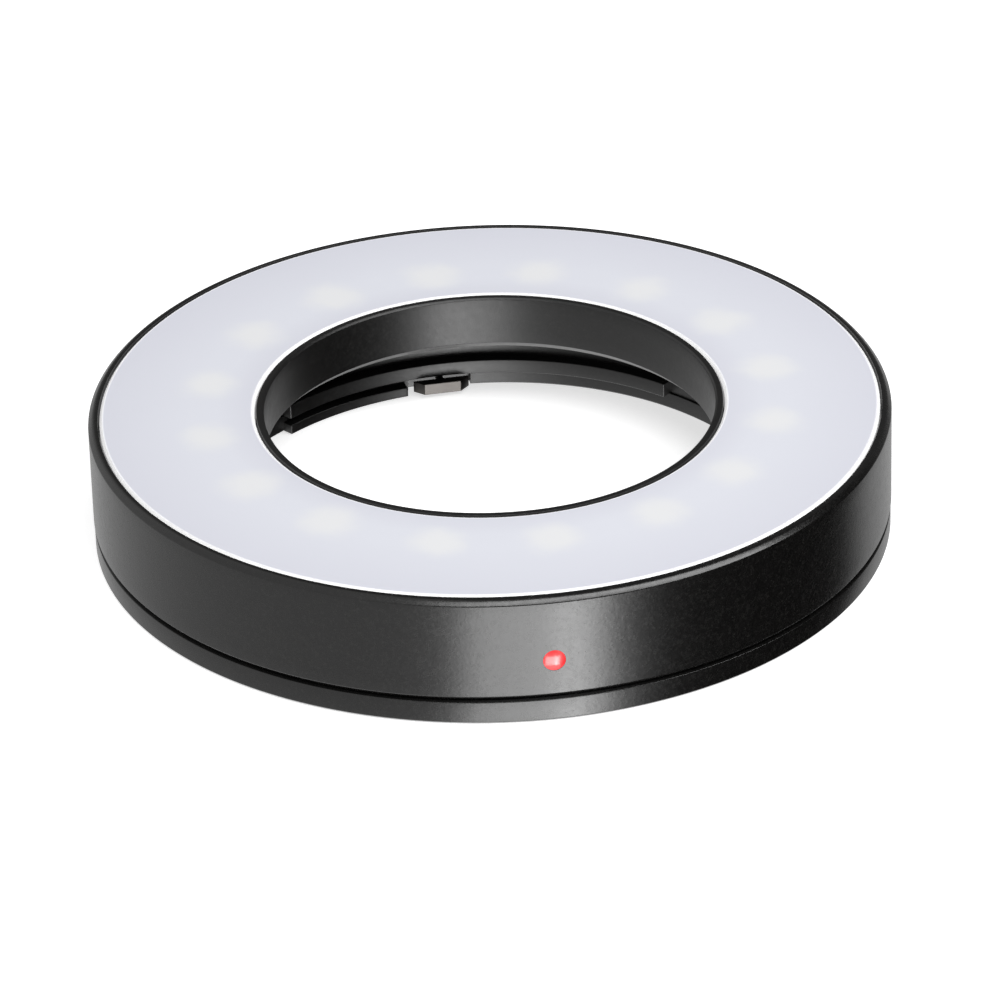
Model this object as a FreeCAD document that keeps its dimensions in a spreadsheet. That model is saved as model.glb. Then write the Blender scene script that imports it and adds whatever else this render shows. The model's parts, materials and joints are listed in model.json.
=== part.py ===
import FreeCAD
import Part
import Sketcher
import math
import os

# A ring light for the nose of a macro lens. The light shines towards +Z, the rear face that
# meets the lens stands on z = 0, and the axis of the ring is the Z axis. Millimetres, degrees.

document = FreeCAD.newDocument("RingLight")

# Driving dimensions. Radii are from the ring's axis, heights from the rear face, and angles
# are turned from +X towards +Y. The index bead faces -Y.
DIMENSIONS = {
    # rear ring, and the mouth in it for the nose of the lens
    "mouth_radius": 21.9,
    "mouth_lead": 0.15,
    "floor_thickness": 1.38,
    "rear_step": 0.05,
    "rear_edge_break": 0.15,
    "spigot_height": 1.2,
    "spigot_thickness": 0.7,
    "spigot_gap": 0.05,
    # seam between the rear ring and the housing, above the floor
    "seam_rise": 0.47,
    "seam_depth": 0.4,
    "seam_lead": 0.42,
    "seam_lead_rear": 0.1,
    # bayonet
    "claw_overhang": 0.8,
    "claw_thickness": 1.15,
    "claw_angle": 93.5,
    "claw_span_angle": 87.0,
    "claw_count": 3,
    "land_angle": 122.2,
    "land_span_angle": 29.4,
    "land_height": 0.8,
    "recess_relief": 0.15,
    "recess_wall": 0.7,
    "flange_thickness": 0.5,
    "flange_gap": 0.2,
    # room between the wall of the bayonet and the spigot, and the housing's walls
    "chamber_room": 5.35,
    "skirt_thickness": 1.25,
    "web_thickness": 0.8,
    "edge_break": 0.15,
    "front_break": 0.4,
    # front: rims, diffuser and the shelves that it lies on
    "bore_radius": 16.93,
    "bore_lead": 0.55,
    "inner_rim": 0.57,
    "outer_rim": 0.74,
    "shelf_width": 0.9,
    "diffuser_gap": 0.12,
    "diffuser_thickness": 1.3,
    "diffuser_edge": 0.2,
    "tape_thickness": 0.1,
    "tape_inset": 0.08,
    # light board
    "pad_thickness": 0.15,
    "board_thickness": 0.8,
    "board_gap": 0.2,
    # light sources
    "led_count": 16,
    "led_edge": 1.4,
    "led_length": 3.5,
    "led_width": 2.8,
    "led_height": 0.7,
    "led_cup_radius": 1.2,
    "led_cup_depth": 0.4,
    "led_room": 0.65,
    "fill_gap": 0.02,
    "resistor_count": 8,
    "resistor_offset": 3.6,
    "resistor_length": 3.2,
    "resistor_width": 1.6,
    "resistor_height": 0.55,
    # sprung catch
    "catch_angle": 100.3,
    "catch_reach": 0.9,
    "catch_travel": 0.9,
    "catch_face": 2.9,
    "catch_rise": 0.93,
    "catch_slope": 0.8,
    "catch_slack": 0.05,
    "catch_foot": 0.35,
    "catch_drop": 0.48,
    "notch_depth": 0.6,
    "notch_room": 0.25,
    "stem_radius": 0.3,
    "stem_gap": 0.03,
    "stem_room": 0.55,
    "collar_radius": 0.55,
    "collar_thickness": 0.3,
    "spring_radius": 0.5,
    "spring_wire": 0.12,
    "spring_turns": 4,
    "plug_thickness": 0.8,
    "plug_slot": 0.25,
    "boss_wall": 0.6,
    # screws
    "thread_gap": 0.02,
    "hole_gap": 0.12,
    "post_radius": 1.3,
    "post_gap": 0.1,
    "rear_screw_count": 4,
    "rear_screw_angle": 76.0,
    "rear_screw_radius": 0.8,
    "rear_head_radius": 1.5,
    "rear_screw_length": 3.6,
    "bayonet_screw_offset": 1.45,
    "bayonet_screw_count": 3,
    "bayonet_screw_angle": 60.0,
    "bayonet_screw_radius": 0.6,
    "bayonet_head_radius": 1.2,
    "bayonet_screw_length": 2.8,
    "board_screw_edge": 1.86,
    "board_screw_count": 4,
    "board_screw_radius": 0.7,
    "board_head_radius": 1.25,
    "board_head_height": 0.5,
    "board_screw_reach": 1.8,
    "screw_end_gap": 0.3,
    "slot_width": 0.3,
    "slot_depth": 0.25,
    # driver board and inlet
    "inlet_angle": 131.0,
    "driver_before_angle": 20.0,
    "driver_after_angle": 31.0,
    "driver_gap": 0.45,
    "driver_rise": 0.7,
    "driver_thickness": 0.8,
    "sheet_thickness": 0.1,
    "driver_boss_inset": 2.15,
    "driver_boss_radius": 1.1,
    "driver_boss_gap": 0.32,
    "driver_screw_reach": 1.4,
    "driver_head_height": 0.4,
    "socket_width": 7.5,
    "socket_height": 2.45,
    "socket_depth": 5.0,
    "socket_wall": 0.25,
    "socket_corner": 0.9,
    "socket_setback": 0.4,
    "socket_headroom": 0.37,
    "window_gap": 0.18,
    "tongue_width": 4.9,
    "tongue_thickness": 0.6,
    "tongue_block": 1.6,
    "contact_width": 0.3,
    "contact_thickness": 0.1,
    "contact_pitch": 0.65,
    "contact_count": 5,
    "capacitor_gap": 0.29,
    "capacitor_edge": 1.0,
    "capacitor_length": 2.0,
    "capacitor_width": 1.2,
    "capacitor_height": 0.8,
    "inductor_angle": 151.8,
    "inductor_edge": 0.7,
    "inductor_size": 2.6,
    "inductor_height": 1.2,
    "chip_angle": 158.9,
    "chip_edge": 0.5,
    "chip_length": 2.6,
    "chip_width": 1.6,
    "chip_height": 1.0,
    # leads from the driver board to the light board
    "lead_angle": 157.5,
    "lead_spread": 1.2,
    "lead_edge": 0.95,
    "lead_radius": 0.4,
    "lead_bend": 0.8,
    "lead_run": 0.9,
    "lead_room": 0.25,
    "solder_radius": 0.5,
    "solder_height": 0.35,
    # index bead
    "bead_angle": 277.8,
    "bead_rise": 3.15,
    "bead_radius": 0.82,
    "bead_depth": 0.8,
    "bead_proud": 0.1,
    "bead_gap": 0.01,
    # how far a cut runs past the wall that it opens
    "cut_margin": 1.0,
}

sheet = document.addObject("Spreadsheet::Sheet", "Sizes")
for row, (alias, number) in enumerate(DIMENSIONS.items(), 1):
    sheet.set(f"A{row}", str(number))
    sheet.setAlias(f"A{row}", alias)
document.recompute()


class Size:
    """A length or angle that keeps its number beside the expression that works it out."""

    def __init__(self, number, text):
        self.number = number
        self.text = text

    def joined(self, other, sign, number):
        """The expression of this size and another, joined by an operator."""
        return Size(number, f"({self.text} {sign} {as_size(other).text})")

    def __add__(self, other):
        return self.joined(other, "+", self.number + as_size(other).number)

    def __sub__(self, other):
        return self.joined(other, "-", self.number - as_size(other).number)

    def __mul__(self, other):
        return self.joined(other, "*", self.number * as_size(other).number)

    def __truediv__(self, other):
        return self.joined(other, "/", self.number / as_size(other).number)

    def __neg__(self):
        return Size(-self.number, f"(0 - {self.text})")


def as_size(value):
    """A plain number made a Size; a Size stays as it is."""
    return value if isinstance(value, Size) else Size(float(value), repr(value))


def cosine(angle):
    return Size(math.cos(math.radians(angle.number)), f"cos({angle.text})")


def sine(angle):
    return Size(math.sin(math.radians(angle.number)), f"sin({angle.text})")


class Sizes:
    """Every cell of the sheet as an attribute of the same name."""

    def __getattr__(self, alias):
        return Size(float(sheet.get(alias)), f"Sizes.{alias}")


s = Sizes()


def bind(thing, name, value):
    """Sets a property, and ties it to the sheet where the value is a Size."""
    if isinstance(value, Size):
        thing.setExpression(name, value.text)
    else:
        setattr(thing, name, value)


def new_body(name, angle=None):
    """A body, turned about the ring's axis where an angle is given."""
    body = document.addObject("PartDesign::Body", name)
    body.Label = name
    if angle is not None:
        turn = FreeCAD.Rotation(FreeCAD.Vector(0, 0, 1), angle.number)
        body.Placement = FreeCAD.Placement(FreeCAD.Vector(0, 0, 0), turn)
        body.setExpression("Placement.Rotation.Angle", angle.text)
    return body


def origin_part(body, role):
    return [item for item in body.Origin.OriginFeatures if item.Role == role][0]


def new_sketch(body, name, role, base=(0, 0, 0), turn=None, pivot=(0, 1, 0)):
    """A sketch on an origin plane, moved by base and turned about pivot, in the plane's axes."""
    sketch = body.newObject("Sketcher::SketchObject", name)
    sketch.AttachmentSupport = [(origin_part(body, role), "")]
    sketch.MapMode = "FlatFace"
    start = FreeCAD.Vector(*[as_size(value).number for value in base])
    rotation = FreeCAD.Rotation()
    if turn is not None:
        rotation = FreeCAD.Rotation(FreeCAD.Vector(*pivot), turn.number)
    sketch.AttachmentOffset = FreeCAD.Placement(start, rotation)
    for axis, value in zip("xyz", base):
        if isinstance(value, Size):
            sketch.setExpression(f"AttachmentOffset.Base.{axis}", value.text)
    if turn is not None:
        sketch.setExpression("AttachmentOffset.Rotation.Angle", turn.text)
    return sketch


def section_sketch(body, name, across=0, turn=None, aside=None):
    """A sketch in a plane that holds a line parallel to Z, at a distance from the axis.

    Its own X runs outwards and its own Y upwards, so a profile is written as (radius, height).
    Aside moves the line sideways, square to the way outwards.
    """
    if turn is None:
        return new_sketch(body, name, "XZ_Plane", (across, 0, -aside if aside else 0))
    if not across:
        return new_sketch(body, name, "XZ_Plane", (0, 0, 0), turn)
    right = across * cosine(turn)
    far = across * sine(turn)
    if aside:
        right = right - aside * sine(turn)
        far = far + aside * cosine(turn)
    return new_sketch(body, name, "XZ_Plane", (right, 0, -far), turn)


def radial_sketch(body, name, distance, height, turn=None):
    """A sketch that faces outwards, at a distance and height; its X runs round the ring."""
    if turn is None:
        return new_sketch(body, name, "YZ_Plane", (0, height, distance))
    base = (distance * sine(turn), height, distance * cosine(turn))
    return new_sketch(body, name, "YZ_Plane", base, turn)


def plan_sketch(body, name, height, turn=None):
    """A sketch seen from above, at a height; turned about the ring's axis."""
    return new_sketch(body, name, "XY_Plane", (0, 0, height), turn, (0, 0, 1))


def hold(sketch, index, place, axis, value):
    """Ties one coordinate of a sketch point to a value of either sign."""
    value = as_size(value)
    kind = "DistanceX" if axis == 0 else "DistanceY"
    if abs(value.number) < 1e-9:
        sketch.addConstraint(Sketcher.Constraint("PointOnObject", index, place, -2 + axis))
        return
    if value.number > 0:
        rule = Sketcher.Constraint(kind, -1, 1, index, place, value.number)
    else:
        rule = Sketcher.Constraint(kind, index, place, -1, 1, -value.number)
        value = -value
    number = sketch.addConstraint(rule)
    sketch.setExpression(f"Constraints[{number}]", value.text)


def outline(sketch, points):
    """A closed chain of straight lines through the points, each held to the sheet."""
    corners = [FreeCAD.Vector(as_size(x).number, as_size(y).number, 0) for x, y in points]
    first = sketch.GeometryCount
    for index, corner in enumerate(corners):
        sketch.addGeometry(Part.LineSegment(corner, corners[(index + 1) % len(corners)]))
    for index in range(len(corners)):
        following = (index + 1) % len(corners)
        joint = Sketcher.Constraint("Coincident", first + index, 2, first + following, 1)
        sketch.addConstraint(joint)
    for index, (x, y) in enumerate(points):
        hold(sketch, first + index, 1, 0, x)
        hold(sketch, first + index, 1, 1, y)
    return sketch


def rectangle(sketch, left, right, low, high):
    return outline(sketch, [(left, low), (right, low), (right, high), (left, high)])


def circle(sketch, radius, x=0, y=0):
    """A circle about a point of the sketch."""
    middle = FreeCAD.Vector(as_size(x).number, as_size(y).number, 0)
    index = sketch.addGeometry(Part.Circle(middle, FreeCAD.Vector(0, 0, 1), radius.number))
    hold(sketch, index, 3, 0, x)
    hold(sketch, index, 3, 1, y)
    number = sketch.addConstraint(Sketcher.Constraint("Radius", index, radius.number))
    sketch.setExpression(f"Constraints[{number}]", radius.text)
    return sketch


def feature(body, kind, sketch, length, **options):
    """A pad or pocket of a sketch, by a length."""
    made = body.newObject(f"PartDesign::{kind}", f"{sketch.Name}{kind}")
    made.Profile = sketch
    bind(made, "Length", length)
    for name, value in options.items():
        setattr(made, name, value)
    body.Tip = made
    document.recompute()
    return made


def turned(body, sketch, angle=360, kind="Revolution", midplane=False):
    """A sketch turned about its own upright axis."""
    made = body.newObject(f"PartDesign::{kind}", f"{sketch.Name}{kind}")
    made.Profile = sketch
    made.ReferenceAxis = (sketch, ["V_Axis"])
    made.Midplane = midplane
    bind(made, "Angle", angle)
    body.Tip = made
    document.recompute()
    return made


def ring_of(body, made, count):
    """Copies of features, evenly spaced round the ring."""
    made = made if isinstance(made, list) else [made]
    pattern = body.newObject("PartDesign::PolarPattern", f"{made[0].Name}Ring")
    pattern.Originals = made
    pattern.Axis = (origin_part(body, "Z_Axis"), [""])
    pattern.Angle = 360
    bind(pattern, "Occurrences", count)
    body.Tip = pattern
    document.recompute()
    return pattern


# Radii that several pieces share, from the mouth outwards
claw_radius = s.mouth_radius - s.claw_overhang
recess_radius = s.mouth_radius + s.recess_relief
recess_outer = recess_radius + s.recess_wall
spigot_inner = recess_outer + s.chamber_room
spigot_outer = spigot_inner + s.spigot_thickness
skirt_inner = spigot_outer + s.spigot_gap
housing_radius = skirt_inner + s.skirt_thickness
rear_radius = housing_radius - s.rear_step
seam_radius = housing_radius - s.seam_depth
rim_outer = housing_radius - s.outer_rim
rim_inner = s.bore_radius + s.inner_rim
chamber_outer = rim_outer - s.shelf_width
chamber_inner = rim_inner + s.shelf_width
board_outer = chamber_outer - s.board_gap
board_inner = chamber_inner + s.board_gap
driver_inner = recess_outer + s.driver_gap
driver_outer = spigot_inner - s.board_gap

# Heights that several pieces share, from the floor of the rear ring upwards
seam_height = s.floor_thickness + s.seam_rise
bead_height = seam_height + s.bead_rise
claw_top = s.floor_thickness + s.claw_thickness
catch_height = s.floor_thickness - s.catch_drop
driver_height = s.floor_thickness + s.driver_rise
driver_top = driver_height + s.driver_thickness
socket_top = driver_top + s.socket_height
web_height = socket_top + s.socket_headroom
web_top = web_height + s.web_thickness
board_height = web_top + s.pad_thickness
board_top = board_height + s.board_thickness
led_top = board_top + s.led_height
seat_height = led_top + s.led_room
shelf_height = seat_height - s.tape_thickness
overall_height = seat_height + s.diffuser_thickness

# Places of the screws, the lamps and the leads
rear_screw_circle = spigot_inner - s.post_gap - s.post_radius
flange_radius = rear_screw_circle - s.post_radius - s.flange_gap
bayonet_screw_circle = recess_outer + s.bayonet_screw_offset
board_screw_circle = board_outer - s.board_screw_edge
driver_screw_across = driver_outer - s.driver_boss_inset
capacitor_aside = s.socket_width / 2 + s.capacitor_gap
driver_screw_aside = (capacitor_aside + s.capacitor_width + s.driver_boss_gap
                      + s.driver_boss_radius)
led_circle = board_inner + s.led_edge + s.led_width / 2
led_step = as_size(360) / s.led_count
lead_circle = driver_outer - s.lead_edge
lead_slot_inner = lead_circle - s.lead_radius - s.lead_room - s.lead_bend / 4
lead_slot_outer = lead_circle + s.lead_radius + s.lead_room

# Places of the catch, from its nose outwards, and of the inlet
catch_nose = claw_radius - s.catch_reach
notch_radius = s.mouth_radius + s.notch_depth
stem_end = recess_outer + s.collar_thickness * 2
plug_face = stem_end + s.catch_travel + s.stem_room
boss_reach = plug_face + s.plug_thickness
spring_bore = s.collar_radius + s.catch_slack
socket_face = housing_radius - s.socket_setback
socket_back = socket_face - s.socket_depth


# The two sides of the inlet, with the distance of their driver screws from its middle
SIDES = {"Left": driver_screw_aside, "Right": -driver_screw_aside}


def lead_slot(body, name, low, high):
    """Cuts the slot that both leads pass through, upwards from low to high."""
    sketch = plan_sketch(body, name, low, s.lead_angle)
    half = s.lead_spread / 2 + s.lead_radius + s.lead_room
    rectangle(sketch, lead_slot_inner, lead_slot_outer, -half, half)
    return feature(body, "Pocket", sketch, high - low, Reversed=True)


def front_housing():
    """The turned front shell: outer wall, bore tube and the web between them, in one piece."""
    body = new_body("front_housing")
    profile = section_sketch(body, "HousingSection")
    outline(profile, [
        (skirt_inner, seam_height),
        (seam_radius, seam_height),
        (housing_radius, seam_height + s.seam_lead),
        (housing_radius, overall_height - s.front_break),
        (housing_radius - s.front_break, overall_height),
        (rim_outer, overall_height),
        (rim_outer, shelf_height),
        (chamber_outer, shelf_height),
        (chamber_outer, web_top),
        (chamber_inner, web_top),
        (chamber_inner, shelf_height),
        (rim_inner, shelf_height),
        (rim_inner, overall_height),
        (s.bore_radius + s.edge_break, overall_height),
        (s.bore_radius, overall_height - s.edge_break),
        (s.bore_radius, web_height + s.bore_lead),
        (s.bore_radius + s.bore_lead, web_height),
        (skirt_inner, web_height),
    ])
    turned(body, profile)

    # posts under the web for the screws of the rear ring
    post = section_sketch(body, "RearPost", rear_screw_circle, s.rear_screw_angle)
    rectangle(post, 0, s.post_radius, s.floor_thickness, web_height)
    ring_of(body, turned(body, post), s.rear_screw_count)

    # short bosses under the web for the screws of the light board
    boss_low = web_top - s.board_screw_reach - s.screw_end_gap * 2
    boss = section_sketch(body, "BoardBoss", board_screw_circle)
    rectangle(boss, 0, s.post_radius, boss_low, web_height)
    ring_of(body, turned(body, boss), s.board_screw_count)

    # two bosses that the driver board hangs from
    for side, aside in SIDES.items():
        name = f"DriverBoss{side}"
        boss = section_sketch(body, name, driver_screw_across, s.inlet_angle, aside)
        rectangle(boss, 0, s.driver_boss_radius, driver_top, web_height)
        turned(body, boss)
        hole = section_sketch(body, f"{name}Hole", driver_screw_across, s.inlet_angle, aside)
        reach = driver_top + s.driver_screw_reach + s.screw_end_gap
        rectangle(hole, 0, s.board_screw_radius + s.thread_gap, driver_top, reach)
        turned(body, hole, kind="Groove")

    # threaded holes of the posts and of the light board's bosses
    hole = section_sketch(body, "RearHole", rear_screw_circle, s.rear_screw_angle)
    reach = s.rear_screw_length + s.screw_end_gap
    rectangle(hole, 0, s.rear_screw_radius + s.thread_gap, s.floor_thickness, reach)
    ring_of(body, turned(body, hole, kind="Groove"), s.rear_screw_count)
    hole = section_sketch(body, "BoardHole", board_screw_circle)
    reach = web_top - s.board_screw_reach - s.screw_end_gap
    rectangle(hole, 0, s.board_screw_radius + s.thread_gap, reach, web_top)
    ring_of(body, turned(body, hole, kind="Groove"), s.board_screw_count)

    # slot for the leads, window for the inlet and blind hole for the index bead
    lead_slot(body, "WebSlot", web_height, web_top)
    window = radial_sketch(body, "InletWindow", spigot_inner, 0, s.inlet_angle)
    half = s.socket_width / 2 + s.window_gap
    rectangle(window, -half, half, driver_top - s.window_gap, socket_top + s.window_gap)
    depth = housing_radius - spigot_inner + s.cut_margin
    feature(body, "Pocket", window, depth, Reversed=True)
    seat = housing_radius - s.bead_depth
    hole = radial_sketch(body, "BeadHole", seat, bead_height, s.bead_angle)
    circle(hole, s.bead_radius + s.bead_gap)
    feature(body, "Pocket", hole, s.bead_depth * 2, Reversed=True)
    return body


def rear_ring():
    """The turned rear ring: floor, visible band below the seam, and the spigot that centres it."""
    body = new_body("rear_ring")
    profile = section_sketch(body, "RearSection")
    spigot_top = seam_height + s.spigot_height
    outline(profile, [
        (s.mouth_radius + s.mouth_lead, 0),
        (rear_radius - s.rear_edge_break, 0),
        (rear_radius, s.rear_edge_break),
        (rear_radius, seam_height - s.seam_lead_rear),
        (seam_radius, seam_height),
        (spigot_outer, seam_height),
        (spigot_outer, spigot_top),
        (spigot_inner, spigot_top),
        (spigot_inner, s.floor_thickness),
        (s.mouth_radius, s.floor_thickness),
        (s.mouth_radius, s.mouth_lead),
    ])
    turned(body, profile)

    # lands in the mouth that centre the nose of the lens, one below each claw
    land = section_sketch(body, "MouthLand", 0, s.land_angle)
    rectangle(land, claw_radius, s.mouth_radius + s.mouth_lead * 2, 0, s.land_height)
    ring_of(body, turned(body, land, s.land_span_angle, midplane=True), s.claw_count)

    # countersunk holes for the screws into the housing and into the bayonet ring
    sink = section_sketch(body, "RearSink", rear_screw_circle, s.rear_screw_angle)
    countersink(sink, s.rear_screw_radius, s.rear_head_radius)
    ring_of(body, turned(body, sink, kind="Groove"), s.rear_screw_count)
    sink = section_sketch(body, "BayonetSink", bayonet_screw_circle, s.bayonet_screw_angle)
    countersink(sink, s.bayonet_screw_radius, s.bayonet_head_radius)
    ring_of(body, turned(body, sink, kind="Groove"), s.bayonet_screw_count)

    # gap in the spigot where the inlet passes
    start = spigot_inner - s.spigot_thickness
    gap = radial_sketch(body, "InletGap", start, 0, s.inlet_angle)
    half = s.socket_width / 2 + s.window_gap * 2
    rectangle(gap, -half, half, seam_height, spigot_top + s.spigot_gap)
    feature(body, "Pocket", gap, s.spigot_thickness * 2 + s.spigot_gap, Reversed=True)

    # catch: a notch in the mouth, and one stepped bore outwards from it
    notch = radial_sketch(body, "CatchNotch", claw_radius, 0, s.catch_angle)
    half = s.catch_face / 2 + s.catch_slope + s.notch_room
    rectangle(notch, -half, half, -s.cut_margin, s.floor_thickness + s.cut_margin)
    feature(body, "Pocket", notch, notch_radius - claw_radius, Reversed=True)
    bore = radial_sketch(body, "StemBore", claw_radius, catch_height, s.catch_angle)
    circle(bore, s.stem_radius + s.stem_gap)
    feature(body, "Pocket", bore, recess_outer - claw_radius, Reversed=True)
    bore = radial_sketch(body, "SpringBore", recess_outer, catch_height, s.catch_angle)
    circle(bore, spring_bore)
    feature(body, "Pocket", bore, boss_reach - recess_outer, Reversed=True)
    return body


def countersink(sketch, shank, head):
    """The section of a countersunk hole: a cone from the rear face, then the clearance hole."""
    outline(sketch, [
        (0, 0),
        (head + s.hole_gap, 0),
        (shank + s.hole_gap, head - shank),
        (shank + s.hole_gap, s.floor_thickness),
        (0, s.floor_thickness),
    ])


def bayonet_ring():
    """The bayonet: a recess wall with a flange, three claws and a cover for the catch."""
    body = new_body("bayonet_ring")
    profile = section_sketch(body, "BayonetSection")
    flange_top = s.floor_thickness + s.flange_thickness
    outline(profile, [
        (recess_radius, s.floor_thickness),
        (flange_radius, s.floor_thickness),
        (flange_radius, flange_top),
        (recess_outer, flange_top),
        (recess_outer, web_height),
        (recess_radius, web_height),
    ])
    turned(body, profile)
    claw = section_sketch(body, "Claw", 0, s.claw_angle)
    rectangle(claw, claw_radius, recess_radius + s.recess_wall / 2, s.floor_thickness, claw_top)
    ring_of(body, turned(body, claw, s.claw_span_angle, midplane=True), s.claw_count)

    # bosses for the screws from the rear ring
    boss = section_sketch(body, "ScrewBoss", bayonet_screw_circle, s.bayonet_screw_angle)
    boss_top = s.bayonet_screw_length + s.screw_end_gap * 2
    rectangle(boss, 0, s.post_radius, s.floor_thickness, boss_top)
    ring_of(body, turned(body, boss), s.bayonet_screw_count)
    hole = section_sketch(body, "ScrewHole", bayonet_screw_circle, s.bayonet_screw_angle)
    reach = s.bayonet_screw_length + s.screw_end_gap
    rectangle(hole, 0, s.bayonet_screw_radius + s.thread_gap, s.floor_thickness, reach)
    ring_of(body, turned(body, hole, kind="Groove"), s.bayonet_screw_count)

    # catch: a cover over the bore of its spring
    boss = radial_sketch(body, "CatchCover", recess_radius, 0, s.catch_angle)
    half = spring_bore + s.boss_wall
    rectangle(boss, -half, half, s.floor_thickness, catch_height + half)
    feature(body, "Pad", boss, boss_reach - recess_radius)
    bore = radial_sketch(body, "CoverGroove", recess_outer, catch_height, s.catch_angle)
    circle(bore, spring_bore)
    feature(body, "Pocket", bore, boss_reach - recess_outer + s.cut_margin, Reversed=True)
    return body


def diffuser():
    """The opal plate that closes the front, its edges eased all round."""
    body = new_body("diffuser")
    profile = section_sketch(body, "DiffuserSection")
    outer = rim_outer - s.diffuser_gap
    inner = rim_inner + s.diffuser_gap
    outline(profile, [
        (inner, seat_height),
        (outer, seat_height),
        (outer, overall_height - s.diffuser_edge),
        (outer - s.diffuser_edge, overall_height),
        (inner + s.diffuser_edge, overall_height),
        (inner, overall_height - s.diffuser_edge),
    ])
    turned(body, profile)
    return body


def flat_ring(name, inner, outer, low, high):
    """A plain ring of rectangular section."""
    body = new_body(name)
    profile = section_sketch(body, f"{name}_section")
    rectangle(profile, inner, outer, low, high)
    turned(body, profile)
    return body


def board_holes(body, name, low, high):
    """Clearance holes for the light board's screws."""
    hole = section_sketch(body, name, board_screw_circle)
    rectangle(hole, 0, s.board_screw_radius + s.hole_gap, low, high)
    ring_of(body, turned(body, hole, kind="Groove"), s.board_screw_count)


def light_board():
    """The ring-shaped board and the thin pad that takes its heat to the web."""
    pad = flat_ring("thermal_pad", board_inner, board_outer, web_top, board_height)
    board_holes(pad, "PadHole", web_top, board_height)
    lead_slot(pad, "PadSlot", web_top, board_height)
    board = flat_ring("led_board", board_inner, board_outer, board_height, board_top)
    board_holes(board, "LightBoardHole", board_height, board_top)
    lead_slot(board, "BoardSlot", board_height, board_top)
    return [pad, board]


def block(body, name, centre, radial, round_about, low, high):
    """A block on the body's X axis, given by its middle radius, its two sizes and heights."""
    sketch = plan_sketch(body, name, low)
    half = round_about / 2
    rectangle(sketch, centre - radial / 2, centre + radial / 2, -half, half)
    return feature(body, "Pad", sketch, high - low)


def light_sources():
    """Sixteen lamp packages, each a white case with a cup that its yellow filling sits in."""
    first = led_step / 2
    packages = new_body("led_packages", first)
    case = block(packages, "Case", led_circle, s.led_width, s.led_length, board_top, led_top)
    cup = section_sketch(packages, "Cup", led_circle)
    cup_floor = led_top - s.led_cup_depth
    rectangle(cup, 0, s.led_cup_radius, cup_floor, led_top)
    ring_of(packages, [case, turned(packages, cup, kind="Groove")], s.led_count)
    fillings = new_body("led_phosphors", first)
    fill = section_sketch(fillings, "Filling", led_circle)
    width = s.led_cup_radius - s.fill_gap
    rectangle(fill, 0, width, cup_floor, led_top - s.fill_gap)
    ring_of(fillings, turned(fillings, fill), s.led_count)
    resistors = new_body("led_resistors", first)
    high = board_top + s.resistor_height
    case = block(resistors, "Resistor", led_circle + s.resistor_offset, s.resistor_width,
                 s.resistor_length, board_top, high)
    ring_of(resistors, case, s.resistor_count)
    return [packages, fillings, resistors]


def slot_cut(body, name, centre, low, high, reach):
    """A screwdriver slot across a screw's head."""
    sketch = plan_sketch(body, name, low)
    half = s.slot_width / 2
    rectangle(sketch, centre - reach, centre + reach, -half, half)
    return feature(body, "Pocket", sketch, high - low, Reversed=True)


def sunk_screws(name, circle_radius, angle, shank, head, length, count):
    """Countersunk screws, heads flush with the rear face."""
    body = new_body(name, angle)
    sketch = section_sketch(body, f"{name}_section", circle_radius)
    outline(sketch, [(0, 0), (head, 0), (shank, head - shank), (shank, length), (0, length)])
    screw = turned(body, sketch)
    slot = slot_cut(body, f"{name}_slot", circle_radius, 0, s.slot_depth, head * 2)
    ring_of(body, [screw, slot], count)
    return body


def board_screws():
    """Pan-head screws that hold the light board to the web."""
    body = new_body("board_screws")
    sketch = section_sketch(body, "BoardScrew", board_screw_circle)
    head_top = board_top + s.board_head_height
    outline(sketch, [
        (0, web_top - s.board_screw_reach),
        (s.board_screw_radius, web_top - s.board_screw_reach),
        (s.board_screw_radius, board_top),
        (s.board_head_radius, board_top),
        (s.board_head_radius, head_top - s.edge_break),
        (s.board_head_radius - s.edge_break, head_top),
        (0, head_top),
    ])
    screw = turned(body, sketch)
    slot = slot_cut(body, "BoardScrewSlot", board_screw_circle, head_top - s.slot_depth,
                    head_top, s.board_head_radius * 2)
    ring_of(body, [screw, slot], s.board_screw_count)
    return body


def driver_plate(name, low, high, hole_radius):
    """An arc-shaped plate round the inlet, with a hole for each of its two screws."""
    body = new_body(name, s.inlet_angle)
    turn = (s.driver_after_angle - s.driver_before_angle) / 2
    sketch = section_sketch(body, f"{name}_section", 0, turn)
    rectangle(sketch, driver_inner, driver_outer, low, high)
    turned(body, sketch, s.driver_after_angle + s.driver_before_angle, midplane=True)
    for side, aside in SIDES.items():
        hole = section_sketch(body, f"{name}_hole{side}", driver_screw_across, None, aside)
        rectangle(hole, 0, hole_radius, low, high)
        turned(body, hole, kind="Groove")
    return body


def driver_screws():
    """Two pan-head screws, heads down, that hold the driver board under its bosses."""
    body = new_body("driver_screws", s.inlet_angle)
    for side, aside in SIDES.items():
        sketch = section_sketch(body, f"DriverScrew{side}", driver_screw_across, None, aside)
        low = driver_height - s.driver_head_height
        outline(sketch, [
            (0, low),
            (s.driver_boss_radius, low),
            (s.driver_boss_radius, driver_height),
            (s.board_screw_radius, driver_height),
            (s.board_screw_radius, driver_top + s.driver_screw_reach),
            (0, driver_top + s.driver_screw_reach),
        ])
        turned(body, sketch)
    return body


def socket_outline(sketch, inset):
    """The inlet's mouth: a rectangle with its two lower corners cut, drawn in by inset."""
    half = s.socket_width / 2 - inset
    low = driver_top + inset
    high = socket_top - inset
    corner = s.socket_corner - inset / 2
    outline(sketch, [
        (-(half - corner), low),
        (half - corner, low),
        (half, low + corner),
        (half, high),
        (-half, high),
        (-half, low + corner),
    ])


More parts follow.
